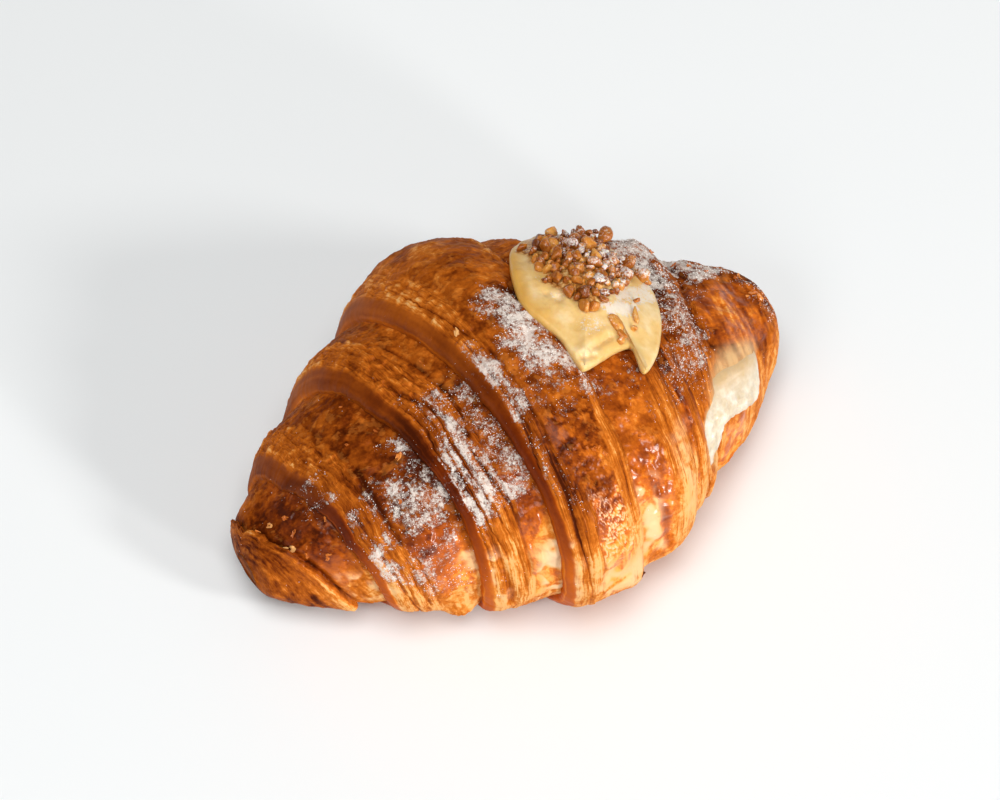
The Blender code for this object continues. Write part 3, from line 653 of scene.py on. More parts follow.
split = split * lower * (band > 0) * np.where(band >= 5, 0.3, 1.0)
plump = (1 - lower) * 0.6 * rough(form, 3.4, 9, 2, 0.6) + lower * noise(flow / 2.6, along / 9.0, band, 9)
bent = 0.5 * noise(along / 3, flow / 3, band, 46)
nearest, second = cells(np.stack([flow / 2.0 + bent, along / 3.6 + bent, band * 5.0], -1), 45)
lobes = smooth(second - nearest, 0.03, 0.42) * (1 - lower)
layer_lift = 0.2 - 0.30 * valley - 0.22 * groove - 0.14 * split + 0.30 * step * cut
layer_lift = layered * (layer_lift + 0.06 * streak * lower)
layer_lift += layered * (0.5 * plump * (1 - 0.5 * lower) + 0.42 * lobes)
layer_lift = np.maximum(layer_lift, -0.75)
crest = bell(near, 0.6) * (riser == 0) + smooth(riser, 0.9, 0.96)
crest = crest * np.isin(band, [n for n, kind in enumerate(KINDS) if kind == "rise"])
layer_lift += 0.5 * crest * noise(along / 4.5, band * 3.0, 0.5, 19)
leaf_streaks = noise(flow / 1.3 + 0.4 * noise(along / 8, flow / 3, 0.5, 61), along / 26, 0.5, 62)
leaf_streaks = leaf_streaks + 0.6 * noise(flow / 0.6, along / 16, 0.5, 63)
leaf_lines = smooth(leaf_streaks, 0.25, 0.75)

# Risers: a ledge and a ridge along each, and the lip of the tip leaf
ledge = bell(riser - 0.42 - 0.25 * noise(along / 22, band * 3.0, 0.5, 8), 0.06)
middle = bell(riser - 0.5 - 0.08 * noise(along / 15, riser, band, 18), 0.07) * on_riser * lower
lip = leaf * bell(far - 0.3, 0.5) - 1.2 * (band == 1) * bell(near, 1.0)
riser_lift = on_riser * (0.22 * noise(along / 14, riser * 2, band, 17) - 0.22 * ledge)
riser_lift += 0.3 * middle
riser_lift += 0.4 * lip * smooth(x, -78.6, -76.0)

# Skin: a smooth base, thin flakes with crisp edges, and blisters where it is glazed
skin = (1 - layered) * (1 - on_riser)
gloss = covered(GLOSSY, x, degrees, 3.0 * noise(x / 5, along / 5, 0.5, 29), 2.0)
swell = rough(form, 7.0, 23, 3)
streaky = noise(flow / 1.5 + 0.6 * noise(along / 9, flow / 3, band, 37), along / 15, band, 38)
streaky += 0.6 * noise(flow / 0.6, along / 9, band, 39)
warped = form + 1.5 * np.stack([noise(*(form.T / 5.0), seed).T for seed in (26, 27, 28)], -1)
flake = rough(warped, 3.6, 25, 5, 0.7) - 0.20 - 0.45 * gloss - np.where(band == 1, 0.15, 0.0)
flaky = smooth(flake, 0.0, 0.05)
rim = bell(flake - 0.03, 0.035)
fine = rough(form, 1.3, 24, 2, 0.7)
glaze = smooth(rough(warped, 7.0, 35, 4, 0.5) + 0.06, -0.03, 0.05)
wrinkled = smooth(depth_inside(WRINKLED_OUTLINE, x, degrees), -3, 3)
wrinkle = np.clip(1 - 2.6 * np.abs(rough(warped, 1.9, 36, 2, 0.6)), 0, 1)
wrinkle = wrinkle * np.maximum(smooth(rough(form, 8, 22, 2), -0.3, 0.15), wrinkled)
bulge = rough(warped, 4.5, 33, 2, 0.4)
skin_lift = skin * (0.6 * swell + 0.12 * flaky + 0.06 * rim + 0.10 * fine * (1 - gloss))
skin_lift += skin * gloss * (0.55 * bulge + 0.15 * glaze + (0.10 + 0.48 * wrinkled) * wrinkle)
skin_lift += (layered * 0.2 + on_riser * 0.1) * swell

# Creases, and low spots and high spots of the outline
marks = [bell(near_line(line, x, degrees), wide) for line, wide, _, _ in CREASES]
folds = sum(deep * mark for mark, (_, _, deep, _) in zip(marks, CREASES))
humps = with_spots(0.0, HUMPS, x, degrees)
relief = layer_lift + riser_lift + skin_lift - folds + humps - 0.28 * leaf_lines * leaf * leaf_rise

# Sugar: soft outlines, broken up, thicker on the high spots
drift = 6.0 * noise(x / 7, along / 7, 0.5, 31) + 3.0 * noise(x / 2.5, along / 2.5, 0.5, 30)
sugar = covered(SUGAR, x, degrees, drift, 5.0)
sugar = sugar * np.where(on_riser > 0.3, np.where(x < -57, 1.1, 0.2), 1.0)
sugar = np.minimum(sugar * (1 + 0.8 * layered * (band < 5)), 1.0) * (1 - 0.75 * layered * valley)
clump = rough(form, 2.4, 32, 3)
relief += 0.22 * np.clip(sugar + 0.9 * clump - 0.35, 0, 0.7) * (sugar > 0.02)

# The hollow that the pale filling fills, and the gap below the edge of the custard
patch_depth = depth_inside(closed_spline(PATCH_OUTLINE, 60), x, degrees)
patch_depth = patch_depth - 0.9 + 0.4 * noise(x / 1.8, along / 1.8, 2.0, 41)
hollow = smooth(patch_depth, -0.3, 0.9) * smooth(degrees, 54, 62)
base_lift = lift + relief * (1 - 0.8 * smooth(patch_depth, -3.0, 1.0))
base_lift = base_lift * (1 - hollow) + HOLLOW_LIFT * hollow
gap = bell(near_line(GAP_LINE, x, degrees), 2.0)
base_lift -= 2.2 * gap

# Tone: 0 is pale and 1 is dark brown, first by place, then on the skin
# Paler towards the front and base: partly lighter baking there, partly painted light from the front
front = smooth(degrees, 42, 88)
tone = 0.60 - 0.42 * front - 0.10 * smooth(-degrees, 40, 110)
tone += 0.30 * smooth(np.abs(degrees), 108, 132)
# Spots of tone, painted shade and painted highlights
tone = with_spots(tone, TONE_SHADE_AND_HIGHLIGHT_SPOTS, x, degrees)
blotches = (0.22 - 0.12 * front) * rough(form, 9, 51, 3)
blotches = blotches + 0.12 * rough(form, 2.2, 52, 3, 0.7) + 0.06 * rim * (flake < 0.02)
tone += skin * (1 - 0.6 * right_end) * blotches
tone += skin * 0.28 * front * streaky * (1 - 0.6 * gloss)
patchy = smooth(rough(warped, 6.5, 56, 4, 0.65), -0.12, 0.16)
tone += skin * (1 - front) * (1 - 0.7 * right_end) * (0.10 - 0.20 * patchy)
crackled = smooth(depth_inside(CRACKLED_OUTLINE, x, degrees), -3, 3)
tone += skin * crackled * 0.24 * (smooth(rough(warped, 2.4, 49, 3, 0.65), -0.10, 0.10) - 0.45)
baked = smooth(rough(warped, 3.2, 34, 4, 0.6), -0.06, 0.10)
# Tone of the glazed skin, paler on the wrinkle ridges as painted glints
glaze_and_glints = 0.10 * glaze + (0.26 - 0.10 * front) * baked - 0.16 - (0.06 + 0.22 * wrinkled) * wrinkle
tone += skin * gloss * glaze_and_glints
upright = noise(x / 1.5 + 0.5 * noise(along / 9, x / 4, 0.5, 58), along / 20, 0.5, 59)
upright = upright + 0.6 * noise(x / 0.6, along / 12, 0.5, 60)
tone += skin * 0.42 * upright * right_end * (1 - front)

# Tone of the layers, the risers, the tip leaf and the creases, with painted shade in their grooves and
# hollows and painted highlights on crests and the leaf's lip
# Darker in the grooves, valleys and splits between layers: painted shade
layer_tone = 0.08 * front - 0.26 + 0.08 * lower + 0.26 * groove + 0.12 * valley + 0.14 * split
tone += layered * (layer_tone + 0.20 * streak * lower)
lined = lower * smooth(x, -20, -16) * smooth(-x, 5, 9)
tone += layered * lined * (0.22 * groove + 0.12 * valley + 0.05)
# Paler on the lumps and lobes, and darker in the grooves, painted shade
tone -= layered * ((0.36 - 0.16 * lower) * plump + (1 - lower) * (0.15 * (lobes - 0.6) - 0.16 * groove))
face = noise(along / 12, riser * 2, band, 54) + 0.7 * noise(along / 20, riser * 7, band, 55)
threads = noise(along / 22, riser * 13, band, 57)
riser_shade_and_tone = np.interp(degrees, RISER_ANGLES, RISER_SHADE_AND_TONE)
# Risers darker than the skin round them, partly browner crust and partly painted shade; darker still in the
# ledge groove, painted shade
tone += on_riser * (riser_shade_and_tone + 0.14 * face + 0.14 * ledge + 0.14 * threads)
# On the top, the lower half of each riser paler, a painted sheen, and the middle ridge paler
tone += on_riser * (1 - lower) * (0.20 * smooth(riser, 0.42, 0.55) - 0.16) - 0.20 * middle
# Painted shadow at the foot of each riser
tone += np.where((riser > 0) & (riser < 0.15), 0.10, 0.0)
# Painted highlight along the crests of the risers
tone -= 0.14 * crest * (1 - front)
# Painted shade in the gap under the custard's edge
tone += 0.45 * gap
# The leaf's lip paler, a painted highlight
tone += np.where(leaf, 0.08 + 0.28 * front - 0.26 * smooth(x, -72, -58) - 0.20 * np.clip(lip, 0, 1), 0.0)
tone += leaf * (0.26 * leaf_streaks + 0.34 * leaf_lines)
# Painted shadow just beyond the leaf's lip
tone += np.where(band == 1, 0.22 * bell(near, 1.6), 0.0)
# Painted shade in the creases
for mark, (_, _, _, dark) in zip(marks, CREASES):
    tone += dark * mark
tone += 0.15 * sugar * (1 - front)

# Pale crust round the filling, pale spots that are partly painted highlights, painted glints on the
# wrinkles, and the amber of glazed skin and risers
fade = smooth(depth_inside(FADE_OUTLINE, x, degrees), -4, 4)
halo = 1.2 + 6.0 * smooth(-degrees, -58, -48)
dull = 0.4 * smooth(upright, -0.1, 0.5) * smooth(-degrees, -62, -48)
pale = fade * smooth(patch_depth / halo, -1.0, 0.1) * (1 - dull)
pale_and_highlight = covered(PALE_AND_HIGHLIGHT_SPOTS, x, degrees, 2.0 * noise(x / 4, along / 4, 0.5, 47), 2.5)
pale_and_highlight = pale_and_highlight * smooth(rough(warped, 5.0, 48, 2), -0.3, 0.12) * (1 - on_riser)
# Painted glints along the ridges of the wrinkled skin
pale_and_highlight = np.maximum(pale_and_highlight, 0.65 * wrinkled * skin * smooth(wrinkle, 0.62, 0.92))
tone -= 0.7 * pale_and_highlight
amber = np.maximum(on_riser * smooth(degrees, 10, 50), 0.75 * gloss * skin) * (1 - pale) * (1 - pale_and_highlight)

# Points of the crust in metres, none below the floor, and the directions out of it
crust_points = place(x, angles, base_lift)
crust_points[..., 2] = np.maximum(crust_points[..., 2], 0.0)
out_of = np.cross(np.gradient(crust_points, axis=1), np.gradient(crust_points, axis=0))
out_of /= np.linalg.norm(out_of, axis=-1, keepdims=True) + 1e-12
from_axis = crust_points - np.array([0, 0, AXIS_HEIGHT]) - crust_points * (1, 0, 0)
out_of *= np.sign((out_of * from_axis).sum(-1, keepdims=True))

grids = {
    "co": crust_points,
    "flow": np.stack([flow, along, band * 9.0], -1),
    "tone": tone,
    "sugar": sugar,
    "pale": pale,
    "gloss": gloss * skin * (0.5 + 0.5 * glaze) * (1 - smooth(degrees, 86, 96)),
    "layered": layered,
    "flake": np.where(skin > 0.5, flake, -0.3),
    "groove": groove * layered,
    "face": on_riser,
    "amber": amber,
    "pale_and_highlight": pale_and_highlight,
}


def crust_piece(name, a, b):
    """The crust from column a up to column b, closed at both ends."""
    rows, cols = len(x), b - a
    index = np.arange(rows * cols).reshape(rows, cols)
    down = np.roll(index, -1, axis=0)
    quads = np.stack([index[:, :-1], index[:, 1:], down[:, 1:], down[:, :-1]], -1)
    stacks = {key: [grid[:, a:b].reshape(rows * cols, *grid.shape[2:])] for key, grid in grids.items()}
    triangles = []
    total = rows * cols
    for col, outer, pole_x in ((a, a == 0, TIP_X), (b - 1, b == x.shape[1], END_X)):
        ring = index[:, col - a]
        pole = place(np.array([pole_x]), np.array([0.0]), 0.0)
        if not outer:
            ring = total + np.arange(rows)
            total += rows
            pole = crust_points[:, col].mean(axis=0)[None]
        for key, grid in grids.items():
            if not outer:
                stacks[key].append(grid[:, col])
            stacks[key].append(pole if key == "co" else grid[:1, col])
        after = np.roll(ring, -1)
        pair = (after, ring) if col == a else (ring, after)
        triangles.append(np.stack([*pair, np.full(rows, total)], -1))
        total += 1
    values = {key: np.concatenate(stack) for key, stack in stacks.items()}
    points, vectors = values.pop("co"), {"flow": values.pop("flow")}
    return make_mesh(name, points, quads, np.concatenate(triangles), values, vectors)


# Pieces of the crust, parted in the creases, each one column into the next
columns_before = np.searchsorted(band[0], np.arange(len(BAND_COLUMNS) + 1))
splits = [0, int(columns_before[3]), int(columns_before[5]), x.shape[1]]
crusts = []
for name, a, b in zip(("crust_left", "crust_middle", "crust_right"), splits, splits[1:]):
    crusts.append(crust_piece(name, max(a - 1, 0), b))


def pillow(outline, centre, steps, rings, edge, half, middle_lift, lip_lift, profile, detail, bottom):
    """A soft closed shape on the pastry with a rounded rim, its lower rings given by bottom.
    detail gives extra lift. Gives back points, quads, triangles, x, degrees and share of the way out."""
    scale = np.array((1.0, ARC))
    rim = closed_spline(outline, steps) * scale
    middle = np.array(centre) * scale
    tangent = np.roll(rim, -1, axis=0) - np.roll(rim, 1, axis=0)
    outward = np.stack([tangent[:, 1], -tangent[:, 0]], -1)
    outward /= np.linalg.norm(outward, axis=1)[:, None]
    outward *= np.sign(np.sum(outward * (rim - middle), axis=1).sum())
    order = np.arange(steps // 2 + 1)[:, None]
    inset_waves = np.fft.rfft(rim - outward * edge, axis=0) * bell(order, 34)
    inset = np.fft.irfft(inset_waves, steps, axis=0)
    loops, lifts, shares = [], [], []
    waves = np.fft.rfft(inset - middle, axis=0)
    for s in np.linspace(0, 1, rings + 1)[1:] ** 0.85:
        eased = np.fft.irfft(waves * np.exp(-((order * (1 - s)) ** 2) / 6), steps, axis=0)
        loops.append(middle + eased * s)
        lifts.append(np.full(steps, float(between(*zip(*profile), s))))
        shares.append(np.full(steps, s))
    for turn in np.radians(np.arange(75, -90, -18)):
        loops.append(inset + outward * edge * math.cos(turn))
        lifts.append(np.full(steps, lip_lift + half * math.sin(turn)))
        shares.append(np.full(steps, 1.0 + (90 - math.degrees(turn)) / 180))
    for s, low in bottom:
        loops.append(middle + (inset - middle) * s)
        lifts.append(np.full(steps, low))
        shares.append(np.full(steps, 2.0))
    flat, lift, share = (np.stack(rows) for rows in (loops, lifts, shares))
    px, deg = flat[..., 0], flat[..., 1] / ARC
    points = place(px, np.radians(deg), lift + detail(px, deg, share))
    rows, cols = px.shape
    index = np.arange(rows * cols).reshape(rows, cols)
    after = np.roll(index, -1, axis=1)
    quads = np.stack([index[1:], after[1:], after[:-1], index[:-1]], -1)
    mid_x, mid_deg = np.array([centre[0]]), np.array([centre[1]])
    top_lift = middle_lift + detail(mid_x, mid_deg, np.array([0.0]))
    top = place(mid_x, np.radians(mid_deg), top_lift)
    low = place(mid_x, np.radians(mid_deg), np.array([bottom[-1][1]]))
    count = rows * cols
    fan = np.stack([index[0], after[0], np.full(cols, count)], -1)
    floor = np.stack([after[-1], index[-1], np.full(cols, count + 1)], -1)
    all_x, all_deg, all_share = (
        np.append(grid.ravel(), ends)
        for grid, ends in ((px, [centre[0]] * 2), (deg, [centre[1]] * 2), (share, [0.0, 2.0]))
    )
    points = np.concatenate([points.reshape(-1, 3), top, low])
    return points, quads, np.concatenate([fan, floor]), all_x, all_deg, all_share


def outline_share(outline, centre, px, deg):
    """0 at the centre of an outline and 1 at its rim."""
    scale = np.array((1.0, ARC))
    middle = np.array(centre) * scale
    rim = closed_spline(outline, 360) * scale - middle
    point = np.stack([px, deg * ARC], -1) - middle
    turns = np.arctan2(rim[:, 1], rim[:, 0])
    order = np.argsort(turns)
    lengths = np.hypot(rim[:, 0], rim[:, 1])[order]
    reach = np.interp(np.arctan2(point[..., 1], point[..., 0]), turns[order], lengths, period=2 * math.pi)
    return np.hypot(point[..., 0], point[..., 1]) / reach


# Custard petal
def petal_detail(px, deg, share):
    """Soft bumps, folds and holes on the top and rim of the custard."""
    q = np.stack([px, deg * ARC, 0 * px], -1)
    bumps = 0.55 * rough(q, 9, 61, 2) + 0.10 * rough(q, 2.2, 62, 2)
    for fold in PETAL_FOLDS:
        d = near_line(fold, px, deg)
        bumps = bumps - 0.7 * bell(d, 0.7) + 0.35 * bell(d - 1.7, 1.0)
    for hole_x, hole_deg, deep in PETAL_HOLES:
        d = np.hypot(px - hole_x, (deg - hole_deg) * ARC)
        bumps = bumps - deep * bell(d, 1.3)
    return np.where(share > 1.6, 0.0, bumps)


pts, quads, tris, px, pdeg, pshare = pillow(
    PETAL_OUTLINE, PETAL_CENTRE, steps=400, rings=64, edge=1.7, half=1.9, middle_lift=8.2, lip_lift=2.3,
    profile=PETAL_PROFILE, detail=petal_detail, bottom=((0.9, 0.2), (0.6, -1.5)))
petal_sugar = covered(PETAL_SUGAR, px, pdeg, 1.2 * noise(px / 2.0, pdeg * ARC / 2.0, 0.5, 63), 1.4)
petal_sugar[pshare > 1.3] = 0
nutty = depth_inside(NUT_HEAP, px, pdeg) + 2.0 * noise(px / 3.0, pdeg * ARC / 3.0, 0.5, 64)
nutty = smooth(nutty, -0.8, 0.8) * (pshare < 1.2)
rich = 0.9 * smooth(pshare, 0.84, 1.02) * smooth(-px, -16, -8) * smooth(-pdeg, -16, 4)
petal_values = {"sugar": petal_sugar, "nutty": nutty, "rich": rich}
custard = make_mesh("custard_petal", pts, quads, tris, petal_values)


# Chopped nuts
def unit_ball():
    """Points and triangles of a ball with radius 1."""
    bpy.ops.mesh.primitive_ico_sphere_add(subdivisions=3, radius=1.0)
    ball = bpy.context.active_object
    co = np.array([v.co for v in ball.data.vertices])
    faces = np.array([f.vertices for f in ball.data.polygons])
    bpy.data.objects.remove(ball)
    return co / np.linalg.norm(co, axis=1)[:, None], faces


def turning(rng):
    """A random rotation matrix."""
    q = rng.normal(size=4)
    a, b, c, d = q / np.linalg.norm(q)
    return np.array([[1 - 2 * (c * c + d * d), 2 * (b * c - a * d), 2 * (b * d + a * c)],
                     [2 * (b * c + a * d), 1 - 2 * (b * b + d * d), 2 * (c * d - a * b)],
                     [2 * (b * d - a * c), 2 * (c * d + a * b), 1 - 2 * (b * b + c * c)]])


def on_petal(px, deg, off=0.0):
    """The point of the custard's top at px and deg, lifted off it by off."""
    px, deg = np.array([px]), np.array([deg])
    share = np.clip(outline_share(PETAL_OUTLINE, PETAL_CENTRE, px, deg), 0, 1)
    lift = between(*zip(*PETAL_PROFILE), share) + petal_detail(px, deg, share)
    return place(px, np.radians(deg), lift + off)[0]


def sliver_axes(a, b, turn):
    """The long, wide and thick directions of a sliver that lies on the custard."""
    foot = on_petal(a, b)
    right, down = on_petal(a + 1, b) - foot, on_petal(a, b + 1 / ARC) - foot
    lengthways = math.cos(turn) * right + math.sin(turn) * down
    lengthways /= np.linalg.norm(lengthways)
    thick = np.cross(right, down)
    thick /= np.linalg.norm(thick)
    return np.stack([lengthways, np.cross(thick, lengthways), thick])


rng = np.random.default_rng(11)
ball, ball_faces = unit_ball()
spots = [(a, b, size, shade, NUT_OUT) for a, b, size, shade in NUTS]
tries = 0
while len(spots) < len(NUTS) + EXTRA_NUTS and tries < 20000:
    tries += 1
    turn, share = rng.uniform(0, 2 * math.pi), rng.random() ** 0.6
    a = HEAP_CENTRE[0] + HEAP_REACH[0] * share * math.cos(turn)
    b = HEAP_CENTRE[1] + HEAP_REACH[1] * share * math.sin(turn)
    size = rng.uniform(1.2, 2.8)
    clear = all(math.hypot(a - s[0], (b - s[1]) * ARC) > NUT_SPACING * (size + s[2]) for s in spots)
    if clear and a < 31 + 4 * rng.random() - 0.2 * b:
        spots.append((a, b, size, rng.uniform(0.2, 0.9), rng.uniform(-0.05, 0.2)))
points, faces, tones, dusts = [], [], [], []
for n, (a, b, size, shade, out) in enumerate(spots):
    size = size * NUT_SCALE
    normals = rng.normal(size=(NUT_FACETS, 3))
    normals /= np.linalg.norm(normals, axis=1)[:, None]
    reach = rng.uniform(0.72, 1.0, NUT_FACETS)
    facing = np.clip(ball @ normals.T, 0.001, None) / reach
    radius = (facing**FACET_SHARPNESS).sum(axis=1) ** (-1 / FACET_SHARPNESS)
    chunk = ball * np.minimum(radius, LONGEST_CORNER)[:, None]
    shape = chunk * (1.0, rng.uniform(0.72, 1.0), rng.uniform(0.55, 0.85))
    shape = shape @ turning(rng).T * (size / 2)
    off = out * size
    if (a, b) in SLIVERS:
        length, width, turn = SLIVERS[(a, b)]
        shape = chunk * (length / 2, width / 2, width * 0.3)
        shape = shape @ sliver_axes(a, b, math.radians(turn))
        off = SLIVER_LIFT
    pits = noise(shape[:, 0] / 0.8 + 9 * n, shape[:, 1] / 0.8, shape[:, 2] / 0.8, 71)
    shape += 0.07 * size * pits[:, None] * ball
    points.append(on_petal(a, b, off) + shape * MM)
    faces.append(ball_faces + n * len(ball))
    cut_side = (facing.argmax(axis=1) % 3 == 0) * 0.16
    mottled = noise(shape[:, 0] / 0.6, shape[:, 1] / 0.6, shape[:, 2] / 0.6 + 5 * n, 72)
    tones.append(shade + 0.15 - cut_side + 0.15 * mottled)
    up = smooth(shape[:, 2] / size, -0.15, 0.4)
    dusts.append(up * (0.08 + 0.38 * rng.random() + (0.12 + 0.32 * rng.random()) * smooth(a, 17, 28)))
nut_values = {"tone": np.concatenate(tones), "sugar": np.concatenate(dusts)}
nuts = make_mesh("chopped_nuts", np.concatenate(points), [], np.concatenate(faces), nut_values)


# Loose sugar grains and torn flakes on the crust
def solid_bits(shapes):
    """One closed mesh from many small ones, each of them points and triangles."""
    count, all_points, all_faces = 0, [], []
    for bit_points, bit_faces in shapes:
        all_points.append(bit_points)
        all_faces.append(bit_faces + count)
        count += len(bit_points)
    return np.concatenate(all_points), np.concatenate(all_faces)


def flake_shape(rng, long, wide, curl, thick):
    """A thin torn scrap, in millimetres, lying flat with one end curled up."""
    turns = (np.arange(FLAKE_SIDES) + rng.uniform(-0.3, 0.3, FLAKE_SIDES)) * 2 * math.pi / FLAKE_SIDES
    reach = rng.uniform(0.5, 1.0, FLAKE_SIDES)
    rim = np.stack([np.cos(turns) * long * reach, np.sin(turns) * wide * reach], -1)
    flat = np.concatenate([np.zeros((1, 2)), rim * 0.5, rim])
    bend = curl * long * np.clip(0.3 + flat[:, 0] / long, 0, 2) ** 2
    bend = bend + 0.12 * wide * rng.normal(size=len(flat))
    upper = np.column_stack([flat, bend + thick / 2])
    under = np.column_stack([flat, bend - thick / 2])
    ring = 1 + np.arange(FLAKE_SIDES)
    after = np.roll(ring, -1)
    a, b, count = ring + FLAKE_SIDES, after + FLAKE_SIDES, len(flat)
    fans = ((0 * ring, ring, after), (ring, a, b), (ring, b, after))
    top = np.concatenate([np.stack(fan, -1) for fan in fans])
    side = np.concatenate([np.stack([a, a + count, b + count], -1), np.stack([a, b + count, b], -1)])
    return np.concatenate([upper, under]), np.concatenate([top, top[:, ::-1] + count, side])


def seated(shape, where, normal, spin, tilt):
    """The shape, in millimetres, set on a surface point and turned with its normal."""
    up = normal / np.linalg.norm(normal)
    ahead = np.cross(up, (math.cos(spin), math.sin(spin), 0.3))
    ahead /= np.linalg.norm(ahead)
    up = up * math.cos(tilt) + ahead * math.sin(tilt)
    ahead = np.cross(np.cross(up, ahead), up)
    return where + (shape @ np.stack([ahead, np.cross(up, ahead), up])) * MM


def grain_shape():
    """An icosahedron: two poles and a ring of five points by each."""
    turns = np.radians(np.arange(0, 360, 72))
    rings = []
    for shift, height in ((0, 0.5), (math.pi / 5, -0.5)):
        rings += [(math.cos(turn + shift), math.sin(turn + shift), height) for turn in turns]
    ball = np.round([(0, 0, 1), *(np.array(rings) * 2 / math.sqrt(5)), (0, 0, -1)], 3)
    fives = [(1 + i, 1 + (i + 1) % 5, 6 + i, 6 + (i + 1) % 5) for i in range(5)]
    faces = [(0, a, b) for a, b, _, _ in fives]
    faces += [(a, c, b) for a, b, c, _ in fives]
    faces += [(c, d, b) for _, b, c, d in fives]
    faces += [(11, d, c) for _, _, c, d in fives]
    return ball, np.array(faces)


rng = np.random.default_rng(5)
grain_ball, grain_faces = grain_shape()
surface, surface_out = crust_points.reshape(-1, 3), out_of.reshape(-1, 3)
open_crust = np.ones_like(x)
open_crust[depth_inside(PETAL_OUTLINE, x, degrees) > -0.5] = 0
open_crust[patch_depth > -1.0] = 0
stray = 0.006 * open_crust * (np.abs(degrees - 20) < 70)
weight = (sugar * open_crust * (np.abs(degrees) < 120) + stray) ** 1.1
chosen = rng.choice(weight.size, GRAIN_COUNT, p=(weight / weight.sum()).ravel())
bits = []
for k in chosen:
    size = 0.06 + 0.14 * rng.random() ** 2 * (0.4 + 0.6 * min(1.0, 2 * float(sugar.ravel()[k])))
    at, up = surface[k], surface_out[k]
    shape = (grain_ball * rng.uniform(0.7, 1.2, 3)) @ turning(rng).T * size
    bits.append((at + (up * 0.4 * size + rng.uniform(-0.15, 0.15, 3)) * MM + shape * MM, grain_faces))
grain_points, grain_tris = solid_bits(bits)
grains = make_mesh("sugar_grains", grain_points, [], grain_tris)

bits, flake_tones = [], []
for at_x, at_deg, spread_x, spread_deg, many, size, shade in FLAKES:
    for _ in range(many):
        flake_x, flake_deg = at_x + spread_x * rng.normal(), at_deg + spread_deg * rng.normal()
        k = np.argmin((x - flake_x) ** 2 + ((degrees - flake_deg) * ARC) ** 2)
        long = size * rng.uniform(0.6, 1.2)
        wide, curl = long * rng.uniform(0.35, 0.7), rng.uniform(0.02, 0.16)
        shape, tris = flake_shape(rng, long, wide, curl, FLAKE_THICKNESS)
        at, up = surface[k], surface_out[k]
        turned = seated(shape, at - up * 0.02 * MM, up, rng.uniform(0, 6.3), rng.uniform(-0.3, 0.3))
        bits.append((turned, tris))
        flake_tones.append(np.full(len(shape), shade + rng.uniform(-0.1, 0.1)))
flake_points, flake_tris = solid_bits(bits)
flakes = make_mesh("crust_flakes", flake_points, [], flake_tris, {"tone": np.concatenate(flake_tones)})
flakes.data.shade_flat()


# Pale filling at the end, level with the crust and rising out of it at its top edge
def crust_level(px, deg):
    """The lift of the smooth crust at px and deg."""
    last_band = band[0] == len(BAND_COLUMNS) - 1
    rows = np.clip(np.round((np.ravel(deg) - FIRST_ROW) / FINE_STEP), 0, len(fine_rows) - 1).astype(int)
    level = [np.interp(at, x[row, last_band], lift[row, last_band]) for at, row in zip(np.ravel(px), rows)]
    return np.reshape(level, np.shape(px))


def patch_detail(px, deg, share):
    """Soft bumps and the ridge on the top and rim of the filling."""
    q = np.stack([px, deg * ARC, 0 * px], -1)
    bumps = crust_level(px, deg) + 0.4 * rough(q, 8, 65, 2)
    bumps = bumps + (0.14 + 0.26 * smooth(deg, 58, 68)) * rough(q, 1.8, 66, 3)
    ridge = near_line(PATCH_RIDGE, px, deg)
    bumps = bumps + 0.8 * bell(ridge, 2.2) - 1.4 * smooth(-deg, -54, -46)
    return np.where(share > 1.6, 0.0, bumps)


pts, quads, tris, px, pdeg, pshare = pillow(
    PATCH_OUTLINE, PATCH_CENTRE, steps=280, rings=44, edge=0.6, half=0.9, middle_lift=0.8, lip_lift=-0.5,
    profile=PATCH_PROFILE, detail=patch_detail, bottom=((0.94, -3.0), (0.75, -12.0), (0.5, -27.0)))
filling = make_mesh("pale_filling", pts, quads, tris, {"top": smooth(-pdeg, -63, -50)})


# Materials: colours at places on a ramp
CRUST_COLOURS = (
    (0.0, (0.84, 0.44, 0.15)),
    (0.1, (0.75, 0.285, 0.055)),
    (0.24, (0.60, 0.160, 0.015)),
    (0.4, (0.445, 0.104, 0.0075)),
    (0.6, (0.29, 0.060, 0.004)),
    (0.8, (0.160, 0.027, 0.0018)),
    (1.0, (0.063, 0.009, 0.0007)),
)
CUSTARD_COLOURS = ((0.3, (0.70, 0.43, 0.125)), (0.5, (0.78, 0.52, 0.20)), (0.7, (0.86, 0.65, 0.35)))
CRUMB_COLOURS = ((0.35, (0.20, 0.055, 0.006)), (0.5, (0.52, 0.22, 0.045)), (0.62, (0.80, 0.52, 0.22)))
NUT_COLOURS = (
    (0.0, (0.80, 0.46, 0.15)),
    (0.3, (0.68, 0.30, 0.055)),
    (0.55, (0.52, 0.18, 0.02)),
    (0.8, (0.31, 0.08, 0.006)),
    (1.0, (0.13, 0.027, 0.002)),
)
FILLING_COLOURS = ((0.3, (0.56, 0.43, 0.27)), (0.5, (0.70, 0.59, 0.43)), (0.7, (0.86, 0.80, 0.69)))


